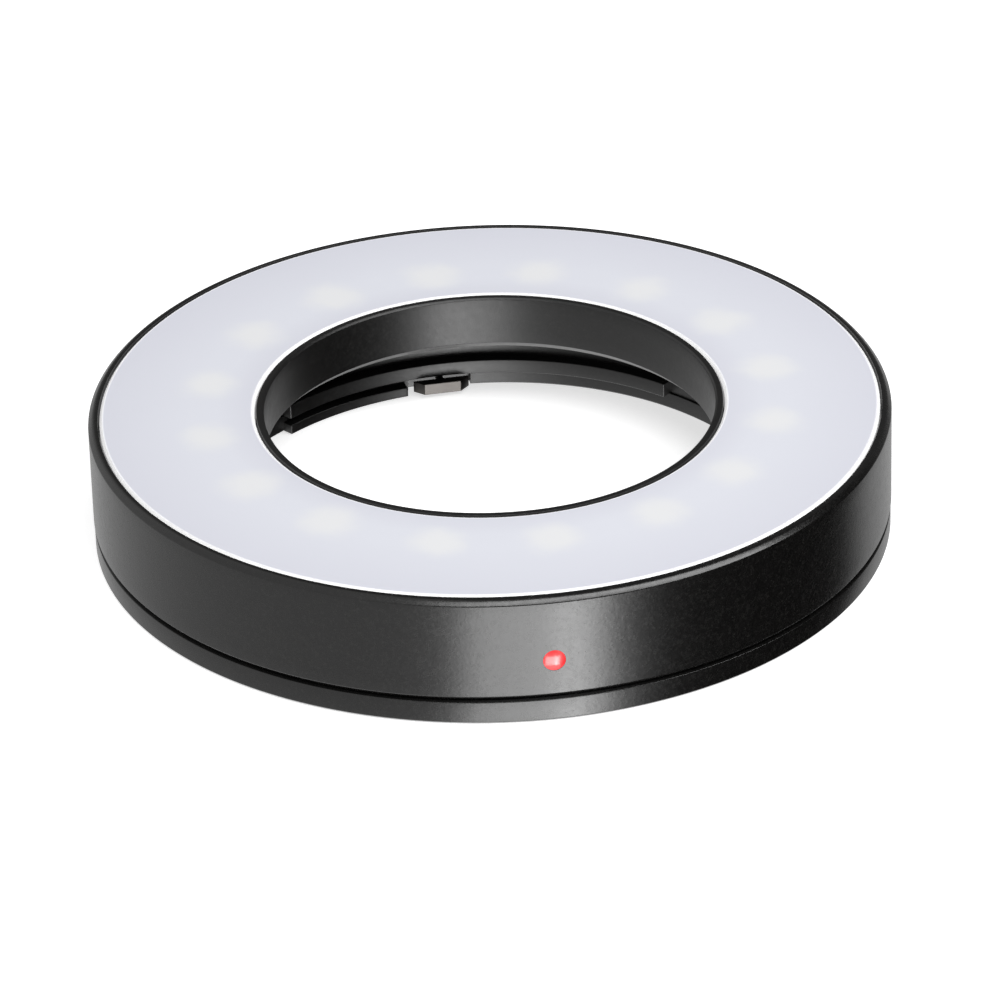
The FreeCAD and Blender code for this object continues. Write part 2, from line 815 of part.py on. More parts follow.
def inlet():
    """The power inlet: folded steel shell, moulded tongue and its row of contacts."""
    shell = new_body("socket_shell", s.inlet_angle)
    socket_outline(radial_sketch(shell, "ShellOutside", socket_back, 0), as_size(0))
    feature(shell, "Pad", shell.Group[-1], s.socket_depth)
    hollow = radial_sketch(shell, "ShellInside", socket_back + s.socket_wall, 0)
    socket_outline(hollow, s.socket_wall)
    feature(shell, "Pocket", hollow, s.socket_depth, Reversed=True)

    tongue = new_body("socket_tongue", s.inlet_angle)
    start = socket_back + s.socket_wall + s.fill_gap
    insert = radial_sketch(tongue, "TongueBlock", start, 0)
    socket_outline(insert, s.socket_wall + s.fill_gap)
    feature(tongue, "Pad", insert, s.tongue_block)
    blade = radial_sketch(tongue, "TongueBlade", start, 0)
    half = s.tongue_width / 2
    middle = driver_top + s.socket_height / 2 + s.tongue_thickness / 2
    rectangle(blade, -half, half, middle, middle + s.tongue_thickness)
    feature(tongue, "Pad", blade, s.socket_depth - s.socket_wall - s.socket_corner)

    contacts = new_body("socket_contacts", s.inlet_angle)
    strip = radial_sketch(contacts, "Contact", start + s.tongue_block, 0)
    first = -(s.contact_pitch * (s.contact_count - 1) / 2)
    rectangle(strip, first - s.contact_width / 2, first + s.contact_width / 2,
              middle - s.contact_thickness, middle)
    length = s.socket_depth - s.socket_wall - s.socket_corner * 1.5 - s.tongue_block
    made = feature(contacts, "Pad", strip, length)
    row = contacts.newObject("PartDesign::LinearPattern", "ContactRow")
    row.Originals = [made]
    row.Direction = (origin_part(contacts, "Y_Axis"), [""])
    bind(row, "Length", s.contact_pitch * (s.contact_count - 1))
    bind(row, "Occurrences", s.contact_count)
    contacts.Tip = row
    document.recompute()
    return [shell, tongue, contacts]


def driver_parts():
    """The converter's chip, its inductor and the capacitors, on top of the driver board."""
    chip = new_body("driver_chip", s.chip_angle)
    middle = driver_inner + s.chip_edge + s.chip_width / 2
    block(chip, "Chip", middle, s.chip_width, s.chip_length,
          driver_top, driver_top + s.chip_height)
    inductor = new_body("power_inductor", s.inductor_angle)
    size = s.inductor_size
    middle = driver_inner + s.inductor_edge + size / 2
    block(inductor, "Inductor", middle, size, size,
          driver_top, driver_top + s.inductor_height)
    capacitors = new_body("capacitors", s.inlet_angle)
    start = driver_inner + s.capacitor_edge
    for side, near in (("Left", capacitor_aside), ("Right", -capacitor_aside - s.capacitor_width)):
        sketch = plan_sketch(capacitors, f"Capacitor{side}", driver_top)
        rectangle(sketch, start, start + s.capacitor_length, near, near + s.capacitor_width)
        feature(capacitors, "Pad", sketch, s.capacitor_height)
    return [chip, inductor, capacitors]


def lead(name, side):
    """An insulated lead: straight up from its solder joint, one bend, and a run inwards."""
    body = new_body(name, s.lead_angle)
    offset = s.lead_spread / 2 * side
    end = lead_circle - s.lead_bend
    start = driver_top + s.solder_height
    centre = board_top + s.lead_radius
    rise = plan_sketch(body, f"{name}_start", start)
    circle(rise, s.lead_radius, lead_circle, offset)
    feature(body, "Pad", rise, centre - s.lead_bend - start)
    bend = plan_sketch(body, f"{name}_bend", centre - s.lead_bend)
    circle(bend, s.lead_radius, lead_circle, offset)
    elbow = body.newObject("PartDesign::Revolution", f"{name}_elbow")
    pivot = bend.addGeometry(Part.LineSegment(
        FreeCAD.Vector(end.number, -s.lead_bend.number, 0),
        FreeCAD.Vector(end.number, s.lead_bend.number, 0)), True)
    bend.addConstraint(Sketcher.Constraint("Vertical", pivot))
    hold(bend, pivot, 1, 0, end)
    elbow.Profile = bend
    elbow.ReferenceAxis = (bend, ["Axis0"])
    elbow.Angle = 90
    elbow.Reversed = True
    body.Tip = elbow
    document.recompute()
    run = radial_sketch(body, f"{name}_run", end - s.lead_run, 0)
    circle(run, s.lead_radius, offset, centre)
    feature(body, "Pad", run, s.lead_run)
    return body


def solder_joints():
    """A drop of solder at each end of each lead."""
    body = new_body("solder_joints", s.lead_angle)
    inner = lead_circle - s.lead_bend - s.lead_run - s.solder_radius
    for side in (1, -1):
        offset = s.lead_spread / 2 * side
        for name, place, low, high in (
            ("Foot", lead_circle, driver_top, driver_top + s.solder_height),
            ("Head", inner, board_top, board_top + s.lead_radius * 2),
        ):
            sketch = plan_sketch(body, f"Solder{name}{'Left' if side > 0 else 'Right'}", low)
            circle(sketch, s.solder_radius, place, offset)
            feature(body, "Pad", sketch, high - low)
    return body


def catch():
    """The sprung catch: a solid tongue on a stem, its spring, and the plug behind them.

    The tongue's ends slope back at 45 degrees, so that a turning claw can push it outwards.
    """
    tongue = new_body("catch_tongue", s.catch_angle)
    face = s.catch_face / 2
    root = catch_nose + s.catch_slope
    head = plan_sketch(tongue, "Head", s.catch_foot)
    outline(head, [
        (root, -(face + s.catch_slope)),
        (catch_nose, -face),
        (catch_nose, face),
        (root, face + s.catch_slope),
    ])
    feature(tongue, "Pad", head, s.catch_rise)
    start = catch_nose + s.catch_slope / 2
    stem = radial_sketch(tongue, "Stem", start, catch_height)
    circle(stem, s.stem_radius)
    feature(tongue, "Pad", stem, stem_end - start)
    collar = radial_sketch(tongue, "Collar", recess_outer, catch_height)
    circle(collar, s.collar_radius)
    feature(tongue, "Pad", collar, s.collar_thickness)

    plug = new_body("catch_plug", s.catch_angle)
    disc = radial_sketch(plug, "Disc", plug_face, catch_height)
    circle(disc, spring_bore - s.thread_gap)
    feature(plug, "Pad", disc, s.plug_thickness)
    slot = radial_sketch(plug, "DiscSlot", boss_reach - s.plug_slot, catch_height)
    half = s.slot_width / 2
    rectangle(slot, -s.collar_radius * 2, s.collar_radius * 2, -half, half)
    feature(plug, "Pocket", slot, s.plug_slot * 2, Reversed=True)

    spring = new_body("catch_spring", s.catch_angle)
    start = recess_outer + s.collar_thickness + s.spring_wire
    wire = new_sketch(spring, "Wire", "XZ_Plane", (start, catch_height, 0))
    circle(wire, s.spring_wire / 2, 0, s.spring_radius - s.spring_wire / 2)
    coil = spring.newObject("PartDesign::AdditiveHelix", "Coil")
    coil.Profile = wire
    coil.ReferenceAxis = (wire, ["H_Axis"])
    coil.Mode = "height-turns-angle"
    bind(coil, "Height", plug_face - start - s.spring_wire)
    bind(coil, "Turns", s.spring_turns)
    spring.Tip = coil
    document.recompute()
    return [tongue, plug, spring]


def index_bead():
    """The red index bead: a pin pressed into the wall, its end a shallow dome."""
    body = new_body("index_bead", s.bead_angle)
    start = housing_radius - s.bead_depth
    pin = radial_sketch(body, "Pin", start, bead_height)
    circle(pin, s.bead_radius)
    bead = feature(body, "Pad", pin, s.bead_depth + s.bead_proud)
    rim = [
        f"Edge{number}"
        for number, edge in enumerate(bead.Shape.Edges, 1)
        if edge.BoundBox.XLength < 1e-3 and edge.BoundBox.XMin > housing_radius.number
    ]
    dome = body.newObject("PartDesign::Fillet", "Dome")
    dome.Base = (bead, rim)
    bind(dome, "Radius", s.bead_proud * 2)
    body.Tip = dome
    document.recompute()
    return body


pieces = [front_housing(), rear_ring(), bayonet_ring(), diffuser()]
pieces.append(flat_ring("outer_tape", chamber_outer + s.tape_inset, rim_outer - s.tape_inset,
                        shelf_height, seat_height))
pieces.append(flat_ring("inner_tape", rim_inner + s.tape_inset, chamber_inner - s.tape_inset,
                        shelf_height, seat_height))
pieces += light_board() + light_sources()
pieces.append(board_screws())
pieces.append(driver_plate("driver_board", driver_height, driver_top,
                           s.board_screw_radius + s.hole_gap))
pieces.append(driver_plate("insulating_sheet", driver_height - s.sheet_thickness,
                           driver_height, s.driver_boss_radius + s.hole_gap))
pieces.append(driver_screws())
pieces += inlet() + driver_parts()
pieces += [lead("red_lead", 1), lead("black_lead", -1), solder_joints()]
pieces += catch()
pieces.append(sunk_screws("rear_screws", rear_screw_circle, s.rear_screw_angle,
                          s.rear_screw_radius, s.rear_head_radius,
                          s.rear_screw_length, s.rear_screw_count))
pieces.append(sunk_screws("bayonet_screws", bayonet_screw_circle, s.bayonet_screw_angle,
                          s.bayonet_screw_radius, s.bayonet_head_radius,
                          s.bayonet_screw_length, s.bayonet_screw_count))
pieces.append(index_bead())

document.recompute()
for item in document.Objects:
    faults = [state for state in item.State if state in ("Invalid", "Error")]
    if faults:
        raise RuntimeError(f"{item.Name} is {faults}")
for piece in pieces:
    shape = piece.Shape
    if shape.isNull() or not shape.isValid():
        raise RuntimeError(f"{piece.Label} has no valid shape")
os.makedirs("parts", exist_ok=True)
for piece in pieces:
    piece.Shape.exportStep(f"parts/{piece.Label}.step")
    print(piece.Label, len(piece.Shape.Solids), round(piece.Shape.Volume, 3))
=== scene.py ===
"""A low black ring light with an opal face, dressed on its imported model."""
import math

import bmesh
import bpy
import numpy as np
from mathutils import Matrix, Vector
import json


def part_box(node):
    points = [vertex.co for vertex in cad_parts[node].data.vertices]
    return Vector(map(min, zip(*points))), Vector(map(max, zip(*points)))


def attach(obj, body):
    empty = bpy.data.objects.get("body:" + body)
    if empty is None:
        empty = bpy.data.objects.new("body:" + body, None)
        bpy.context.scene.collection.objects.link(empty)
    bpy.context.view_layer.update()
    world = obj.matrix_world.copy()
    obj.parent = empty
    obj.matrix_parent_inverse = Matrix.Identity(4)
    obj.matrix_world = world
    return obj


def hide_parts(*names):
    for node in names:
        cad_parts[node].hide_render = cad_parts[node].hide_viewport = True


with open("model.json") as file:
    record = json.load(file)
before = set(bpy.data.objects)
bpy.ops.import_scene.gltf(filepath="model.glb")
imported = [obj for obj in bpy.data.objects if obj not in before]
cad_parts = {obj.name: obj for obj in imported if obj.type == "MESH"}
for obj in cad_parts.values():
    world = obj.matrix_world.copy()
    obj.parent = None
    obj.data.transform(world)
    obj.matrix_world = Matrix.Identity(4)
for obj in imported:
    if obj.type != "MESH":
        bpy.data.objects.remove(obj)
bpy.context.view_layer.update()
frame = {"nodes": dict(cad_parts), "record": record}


# Rear ring: turned aluminium, blasted and anodised black. Its edge is the narrow band below the
# seam, its floor closes the back, and seven countersunk screws go through that floor.
mm = 0.001
turn_steps = 384
rear_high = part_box("rear_ring")[1]
rear_radius = rear_high.x
spigot_top = rear_high.z
mouth_radius = 21.9 * mm
floor_thickness = 1.38 * mm
seam_height = 1.85 * mm
seam_radius = 29.7 * mm
spigot_outer = 28.8 * mm
spigot_inner = 28.1 * mm
rear_edge = 0.15 * mm
seam_lead_rear = 0.1 * mm
mouth_lead = 0.15 * mm
mouth_round = 0.06 * mm
# Roundings that the tools leave on edges, and how far a cutter reaches past its piece.
crisp = 0.02 * mm
broken = 0.05 * mm
eased = 0.08 * mm
past = 1.0 * mm


def rounded(corners, steps=5):
    """A closed outline of (x, y, rounding) corners, each rounded by a tangent arc.

    The arc's centre lies on the bisector at rounding / sin(half angle), and its points turn
    evenly from the side before the corner to the side after it.
    Returns the points and their outward unit normals, as two arrays of (x, y) rows.
    """
    corners = np.array(corners, float)
    points = corners[:, :2]
    rounding = np.maximum(corners[:, 2:], 1e-7)
    before = np.roll(points, 1, axis=0) - points
    after = np.roll(points, -1, axis=0) - points
    before /= np.linalg.norm(before, axis=1, keepdims=True)
    after /= np.linalg.norm(after, axis=1, keepdims=True)
    half = np.arccos(np.sum(before * after, axis=1, keepdims=True)) / 2
    bisector = before + after
    bisector /= np.linalg.norm(bisector, axis=1, keepdims=True)
    centre = points + bisector * rounding / np.sin(half)
    first = points + before * rounding / np.tan(half) - centre
    last = points + after * rounding / np.tan(half) - centre
    sweep = math.pi - 2 * half
    share = np.linspace(0, 1, steps)[None, :, None]
    sweep = sweep[:, :, None]
    arc = first[:, None] * np.sin((1 - share) * sweep) + last[:, None] * np.sin(share * sweep)
    arc /= np.sin(sweep)
    outline = (centre[:, None] + arc).reshape(-1, 2)
    turning = before[:, 0] * after[:, 1] - before[:, 1] * after[:, 0]
    outwards = np.where(turning < 0, 1, -1)[:, None, None]
    area = np.sum(points[:, 0] * np.roll(points[:, 1], -1) - points[:, 1] * np.roll(points[:, 0], -1))
    normals = arc / np.linalg.norm(arc, axis=2, keepdims=True) * outwards * math.copysign(1, area)
    return outline, normals.reshape(-1, 2)


def divided(outline, longest=1.0 * mm):
    """The same outline with points spaced evenly along each side that is longer than longest."""
    following = np.roll(outline, -1, axis=0)
    counts = np.ceil(np.linalg.norm(following - outline, axis=1) / longest).astype(int)
    return np.concatenate([
        first + (last - first) * np.linspace(0, 1, max(count, 1), endpoint=False)[:, None]
        for first, last, count in zip(outline, following, counts)
    ])


def turned(outline, steps=turn_steps):
    """An outline of (radius, height) turned about Z: (r cos a, r sin a, z) on a grid."""
    angles = np.linspace(0, math.tau, steps, endpoint=False)
    radius = outline[:, :1]
    height = np.broadcast_to(outline[:, 1:], (len(outline), len(angles)))
    return np.stack([radius * np.cos(angles), radius * np.sin(angles), height], axis=2)


def surface(points, capped=False):
    """A grid of points as (points, faces), with one quad in each cell.

    The last row joins the first. So does the last column, unless the grid is capped: then one
    face covers its first column and another its last.
    """
    rows, columns = points.shape[:2]
    cells = columns - 1 if capped else columns
    row, column = np.meshgrid(np.arange(rows), np.arange(cells), indexing="ij")
    next_row = (row + 1) % rows
    next_column = (column + 1) % columns
    corners = [row * columns + column, next_row * columns + column,
               next_row * columns + next_column, row * columns + next_column]
    faces = np.stack(corners, axis=2).reshape(-1, 4).tolist()
    if capped:
        first = np.arange(rows) * columns
        faces += [first.tolist(), (first + columns - 1)[::-1].tolist()]
    return points.reshape(-1, 3), faces


def solid(name, surfaces):
    """One object of several closed surfaces: doubles merged, faces turned outwards, smooth."""
    starts = np.cumsum([0] + [len(points) for points, _ in surfaces])
    points = np.concatenate([points for points, _ in surfaces])
    faces = [
        [int(start) + corner for corner in face]
        for start, (_, some) in zip(starts, surfaces)
        for face in some
    ]
    mesh = bpy.data.meshes.new(name)
    mesh.from_pydata(points.tolist(), [], faces)
    work = bmesh.new()
    work.from_mesh(mesh)
    bmesh.ops.remove_doubles(work, verts=work.verts, dist=1e-6)
    bmesh.ops.dissolve_degenerate(work, edges=work.edges, dist=1e-7)
    bmesh.ops.recalc_face_normals(work, faces=work.faces)
    work.to_mesh(mesh)
    work.free()
    mesh.shade_smooth()
    piece = bpy.data.objects.new(name, mesh)
    bpy.context.scene.collection.objects.link(piece)
    return piece


def turned_solid(name, corners):
    """One closed outline of (radius, height, rounding) corners, turned about Z."""
    return solid(name, [surface(turned(divided(rounded(corners)[0])))])


def combine(piece, other, operation="DIFFERENCE"):
    """Cuts the other solid out of the piece, or joins it on, and deletes the other."""
    change = piece.modifiers.new("combine", "BOOLEAN")
    change.operation = operation
    change.solver = "EXACT"
    change.object = other
    graph = bpy.context.evaluated_depsgraph_get()
    mesh = bpy.data.meshes.new_from_object(piece.evaluated_get(graph))
    piece.modifiers.clear()
    piece.data = mesh
    bpy.data.objects.remove(other)
    return piece


def placed(points, angle, distance=0.0, height=0.0):
    """Points of a shape's own frame, x outwards, y round the ring and z up, put in their place."""
    x = points[..., 0] + distance
    y = points[..., 1]
    across = x * math.cos(angle) - y * math.sin(angle)
    along = x * math.sin(angle) + y * math.cos(angle)
    return np.stack([across, along, points[..., 2] + height], axis=-1)


sharp_angle = math.radians(34)


def dress(piece, material, node, body="ring"):
    """Gives a finished piece its material, evens its normals and lets it stand for its node."""
    piece.data.materials.clear()
    piece.data.materials.append(material)
    piece.data.polygons.foreach_set("material_index", [0] * len(piece.data.polygons))
    piece.data.set_sharp_from_angle(angle=sharp_angle)
    even = piece.modifiers.new("even normals", "WEIGHTED_NORMAL")
    even.keep_sharp = True
    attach(piece, body)
    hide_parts(node)


def spaced(first, count):
    """Angles spaced evenly round the ring, from the first one on."""
    return [first + math.tau * number / count for number in range(count)]


rear_screw_angles = spaced(math.radians(76.0), 4)
rear_screw_circle = 26.7 * mm
rear_shank = 0.8 * mm
rear_head = 1.5 * mm
bayonet_screw_angles = spaced(math.radians(60.0), 3)
bayonet_screw_circle = 24.2 * mm
bayonet_shank = 0.6 * mm
bayonet_head = 1.2 * mm
hole_gap = 0.12 * mm
hole_past = 0.3 * mm
hole_steps = 48


def sunk_hole(angle, circle, shank, head):
    """A countersunk cutter: a cone whose wide end passes the rear face, then a straight shank."""
    wide = head + hole_gap + hole_past
    narrow = shank + hole_gap
    high = floor_thickness + hole_past
    corners = [(0, -hole_past), (wide, -hole_past), (narrow, head - shank), (narrow, high), (0, high)]
    return surface(placed(turned(np.array(corners), hole_steps), angle, circle))


rear_ring = turned_solid("rear_band", [
    (mouth_radius + mouth_lead, 0, mouth_round), (rear_radius - rear_edge, 0, eased),
    (rear_radius, rear_edge, eased), (rear_radius, seam_height - seam_lead_rear, broken),
    (seam_radius, seam_height, broken), (spigot_outer, seam_height, crisp),
    (spigot_outer, spigot_top, broken), (spigot_inner, spigot_top, broken),
    (spigot_inner, floor_thickness, broken), (mouth_radius, floor_thickness, broken),
    (mouth_radius, mouth_lead, mouth_round),
])
rear_holes = [
    sunk_hole(angle, circle, shank, head)
    for angles, circle, shank, head in (
        (rear_screw_angles, rear_screw_circle, rear_shank, rear_head),
        (bayonet_screw_angles, bayonet_screw_circle, bayonet_shank, bayonet_head),
    )
    for angle in angles
]
combine(rear_ring, solid("holes", rear_holes))

claw_inner = 21.1 * mm
claw_count = 3
land_angle = math.radians(122.2)
land_span = math.radians(29.4)
land_root = mouth_radius + 0.3 * mm
land_low = 0.02 * mm
land_high = 0.8 * mm
land_edge = 0.06 * mm
land_steps = 48
catch_angle = math.radians(100.3)
catch_height = 0.9 * mm
notch_start = 18.0 * mm
notch_radius = 22.5 * mm
notch_top = floor_thickness + 0.2 * mm
notch_half = 2.5 * mm
recess_outer = 22.75 * mm
boss_reach = 25.6 * mm
stem_bore = 0.33 * mm
stem_bore_start = 21.0 * mm
spring_bore = 0.6 * mm
inlet_angle = math.radians(131.0)
socket_half = 3.75 * mm
window_gap = 0.18 * mm
spigot_gap_half = socket_half + 2 * window_gap
spigot_gap_start = spigot_inner - 0.3 * mm
spigot_gap_depth = 1.3 * mm
spigot_gap_high = spigot_top + 0.1 * mm


def eased_ends(outline, normals, positions, edge, steps=4):
    """Offsets of an outline that draw it in by a quarter circle at both ends of a run.

    Positions are lengths along the run; the outline is drawn in by edge (1 - cos t) while its
    place moves edge sin t, so the ends of the solid are rounded. Returns places and outlines.
    """
    turn = np.linspace(math.pi / 2, 0, steps)
    inset = edge * (1 - np.cos(turn))
    ease = edge * (1 - np.sin(turn))
    places = np.concatenate([positions[0] + ease, positions[1:-1], (positions[-1] - ease)[::-1]])
    insets = np.concatenate([inset, np.zeros(len(positions) - 2), inset[::-1]])
    sections = outline[:, None] - normals[:, None] * insets[None, :, None]
    return places, sections


def bar(corners, start, length, edge, angle):
    """A section of (y, z, rounding) carried outwards from start, with rounded ends."""
    outline, normals = rounded(corners)
    places, sections = eased_ends(outline, normals, np.linspace(start, start + length, 3), edge)
    across = np.broadcast_to(places, sections.shape[:2])
    points = np.stack([across, sections[..., 0], sections[..., 1]], axis=2)
    return surface(placed(points, angle), capped=True)


def box_corners(half, low, high, rounding):
    """A rectangle of (y, z, rounding) corners, as wide both ways from the middle."""
    return [(-half, low, rounding), (half, low, rounding), (half, high, rounding),
            (-half, high, rounding)]


def rod(corners, angle, height, steps=40):
    """A section of (place outwards, radius) turned about a line that runs outwards."""
    corners = np.array(corners, float)
    turn = np.linspace(0, math.tau, steps, endpoint=False)
    across = np.broadcast_to(corners[:, :1], (len(corners), steps))
    points = np.stack([across, corners[:, 1:] * np.cos(turn), corners[:, 1:] * np.sin(turn)], axis=2)
    return surface(placed(points, angle, 0.0, height))


def arc_block(corners, middle, sweep, steps, edge):
    """A section of (radius, height, rounding) carried round an arc, with rounded ends."""
    outline, normals = rounded(corners)
    radius = outline[:, 0].mean()
    lengths = np.linspace(0, sweep * radius, steps)
    places, sections = eased_ends(outline, normals, lengths, edge)
    angles = middle - sweep / 2 + places / radius
    across = sections[..., 0]
    points = np.stack([across * np.cos(angles), across * np.sin(angles), sections[..., 1]], axis=2)
    return surface(points, capped=True)


lands = [
    arc_block([
        (claw_inner, land_low, land_edge), (land_root, land_low, crisp),
        (land_root, land_high, crisp), (claw_inner, land_high, land_edge),
    ], angle, land_span, land_steps, land_edge)
    for angle in spaced(land_angle, claw_count)
]
combine(rear_ring, solid("lands", lands), "UNION")
catch_notch = bar(box_corners(notch_half, -past, notch_top, broken),
                  notch_start, notch_radius - notch_start, broken, catch_angle)
inlet_gap = bar(box_corners(spigot_gap_half, seam_height, spigot_gap_high, broken),
                spigot_gap_start, spigot_gap_depth, broken, inlet_angle)
combine(rear_ring, solid("notches", [catch_notch, inlet_gap]))
catch_bore = rod([
    (stem_bore_start, 0), (stem_bore_start, stem_bore), (recess_outer, stem_bore),
    (recess_outer, spring_bore), (boss_reach, spring_bore), (boss_reach, 0),
], catch_angle, catch_height)
combine(rear_ring, solid("bore", [catch_bore]))


def new_group(name, inputs, outputs):
    """An empty shader group with inputs of (name, value) and named outputs, all plain numbers."""
    group = bpy.data.node_groups.new(name, "ShaderNodeTree")
    for title, value in inputs:
        socket = group.interface.new_socket(title, in_out="INPUT", socket_type="NodeSocketFloat")
        socket.default_value = value
    for title in outputs:
        group.interface.new_socket(title, in_out="OUTPUT", socket_type="NodeSocketFloat")
    return group, group.nodes.new("NodeGroupInput"), group.nodes.new("NodeGroupOutput")


def own_place(tree):
    """A point's place on the piece itself, in metres."""
    return tree.nodes.new("ShaderNodeTexCoord").outputs["Object"]


def noise(tree, source, scale, detail=3.0, roughness=0.5):
    """A noise texture on a coordinate output, at a fixed or a linked scale."""
    texture = tree.nodes.new("ShaderNodeTexNoise")
    texture.inputs["Detail"].default_value = detail
    texture.inputs["Roughness"].default_value = roughness
    tree.links.new(source, texture.inputs["Vector"])
    if isinstance(scale, (int, float)):
        texture.inputs["Scale"].default_value = scale
    else:
        tree.links.new(scale, texture.inputs["Scale"])
    return texture.outputs["Fac"]


def worked_out(tree, operation, first, second, third=None):
    """A Math node; each input is a socket or a number."""
    node = tree.nodes.new("ShaderNodeMath")
    node.operation = operation
    for socket, value in zip(node.inputs, (first, second, third)):
        if value is None:
            continue
        if isinstance(value, (int, float)):
            socket.default_value = value
        else:
            tree.links.new(value, socket)
    return node.outputs[0]


def between(tree, value, low, high, out_low=0.0, out_high=1.0):
    """A Map Range node that clamps, from low..high to out_low..out_high."""
    node = tree.nodes.new("ShaderNodeMapRange")
    node.inputs["From Min"].default_value = low
    node.inputs["From Max"].default_value = high
    node.inputs["To Min"].default_value = out_low
    node.inputs["To Max"].default_value = out_high
    tree.links.new(value, node.inputs["Value"])
    return node.outputs[0]


def blasted_group():
    """Bead-blasted metal: pits of two sizes as height, and a patchy value for gloss and colour."""
    inputs = [("Pit Scale", 9000.0), ("Patch Scale", 1100.0)]
    tree, start, end = new_group("blasted grain", inputs, ["Height", "Sparkle", "Patches"])
    place = own_place(tree)
    fine = noise(tree, place, start.outputs["Pit Scale"], 2.0, 0.6)
    coarse_scale = worked_out(tree, "MULTIPLY", start.outputs["Pit Scale"], 0.45)
    coarse = noise(tree, place, coarse_scale, 2.0, 0.5)
    height = worked_out(tree, "MULTIPLY_ADD", coarse, 0.8, fine)
    tree.links.new(height, end.inputs["Height"])
    tree.links.new(between(tree, fine, 0.52, 0.72), end.inputs["Sparkle"])
    patches = noise(tree, place, start.outputs["Patch Scale"], 4.0, 0.6)
    tree.links.new(between(tree, patches, 0.35, 0.65), end.inputs["Patches"])
    return tree


def dust_group():
    """Faint dust: small flecks and a thin film, thicker on faces that look up."""
    tree, start, end = new_group("dust", [("Amount", 0.3)], ["Mask"])
    place = own_place(tree)
    flecks = tree.nodes.new("ShaderNodeTexVoronoi")
    flecks.inputs["Scale"].default_value = 650.0
    tree.links.new(place, flecks.inputs["Vector"])
    spots = between(tree, flecks.outputs["Distance"], 0.03, 0.09, 1.0, 0.0)
    rare = between(tree, noise(tree, place, 260.0, 2.0), 0.58, 0.7)
    spots = worked_out(tree, "MULTIPLY", spots, rare)
    film = between(tree, noise(tree, place, 120.0, 5.0, 0.65), 0.4, 0.8, 0.0, 0.25)
    normal = tree.nodes.new("ShaderNodeSeparateXYZ")
    tree.links.new(tree.nodes.new("ShaderNodeNewGeometry").outputs["Normal"], normal.inputs[0])
    up = between(tree, normal.outputs["Z"], 0.2, 0.9, 0.25, 1.0)
    total = worked_out(tree, "MAXIMUM", spots, film)
    total = worked_out(tree, "MULTIPLY", total, up)
    total = worked_out(tree, "MULTIPLY", total, start.outputs["Amount"])
    tree.links.new(total, end.inputs["Mask"])
    return tree


def about_axis_group():
    """Where a point lies about the ring's axis: radius sqrt(x x + y y) and angle atan2(y, x)."""
    tree, _, end = new_group("about the axis", [], ["Radius", "Angle"])
    split = tree.nodes.new("ShaderNodeSeparateXYZ")
    tree.links.new(own_place(tree), split.inputs[0])
    x, y = split.outputs["X"], split.outputs["Y"]
    square = worked_out(tree, "MULTIPLY_ADD", y, y, worked_out(tree, "MULTIPLY", x, x))
    tree.links.new(worked_out(tree, "SQRT", square, 0.0), end.inputs["Radius"])
    tree.links.new(worked_out(tree, "ARCTAN2", y, x), end.inputs["Angle"])
    return tree


blasted = blasted_group()
dust = dust_group()
about_axis = about_axis_group()


def new_material(name, metallic=0.0, ior=1.5, roughness=0.5):
    """A material with one Principled shader; returns it with its node tree and the shader."""
    material = bpy.data.materials.new(name)
    material.use_nodes = True
    shader = material.node_tree.nodes["Principled BSDF"]
    shader.inputs["Metallic"].default_value = metallic
    shader.inputs["IOR"].default_value = ior
    shader.inputs["Roughness"].default_value = roughness
    return material, material.node_tree, shader


def mixed(tree, factor, low, high):
    """A colour that goes from low to high with a factor; each is a socket or an RGB tuple."""
    node = tree.nodes.new("ShaderNodeMix")
    node.data_type = "RGBA"
    tree.links.new(factor, node.inputs["Factor"])
    for socket, value in ((node.inputs[6], low), (node.inputs[7], high)):
        if isinstance(value, tuple):
            socket.default_value = (*value, 1.0)
        else:
            tree.links.new(value, socket)
    return node.outputs[2]


def bumped(tree, shader, height, depth):
    """A Bump node on the shader's Normal; depth is the height's full range in metres."""
    node = tree.nodes.new("ShaderNodeBump")
    node.inputs["Distance"].default_value = depth
    tree.links.new(height, node.inputs["Height"])
    tree.links.new(node.outputs["Normal"], shader.inputs["Normal"])


def placed_group(tree, group, **values):
    """A node that holds a shader group, with its inputs set by name."""
    node = tree.nodes.new("ShaderNodeGroup")
    node.node_tree = group
    for title, value in values.items():
        node.inputs[title.replace("_", " ")].default_value = value
    return node


def dusted(tree, shader, colour, amount, dust_colour):
    """Lays an amount of dust over a colour, for the shader's Base Color."""
    film = placed_group(tree, dust, Amount=amount)
    colour = mixed(tree, film.outputs["Mask"], colour, dust_colour)
    tree.links.new(colour, shader.inputs["Base Color"])


def patchy_gloss(tree, shader, patches, low, high):
    """Roughness that goes from low to high with a patchy value."""
    tree.links.new(between(tree, patches, 0.0, 1.0, low, high), shader.inputs["Roughness"])


dull_radius = 22.6 * mm
glossy_radius = 23.0 * mm


def black_anodised():
    """Satin black, a little warm, with a fine blasted grain; the bore and mouth are duller."""
    material, tree, shader = new_material("black anodised", 0.0, 1.55)
    grain = placed_group(tree, blasted, Pit_Scale=3600.0)
    colour = mixed(tree, grain.outputs["Patches"], (0.0022, 0.0021, 0.0020), (0.0032, 0.0030, 0.0029))
    colour = mixed(tree, grain.outputs["Sparkle"], colour, (0.0070, 0.0066, 0.0062))
    dusted(tree, shader, colour, 0.012, (0.55, 0.54, 0.52))
    radius = placed_group(tree, about_axis).outputs["Radius"]
    rough = between(tree, radius, dull_radius, glossy_radius, 0.41, 0.26)
    uneven = between(tree, grain.outputs["Height"], 0.7, 1.1, -0.02, 0.02)
    tree.links.new(worked_out(tree, "ADD", rough, uneven), shader.inputs["Roughness"])
    bumped(tree, shader, grain.outputs["Height"], 0.005 * mm)
    return material


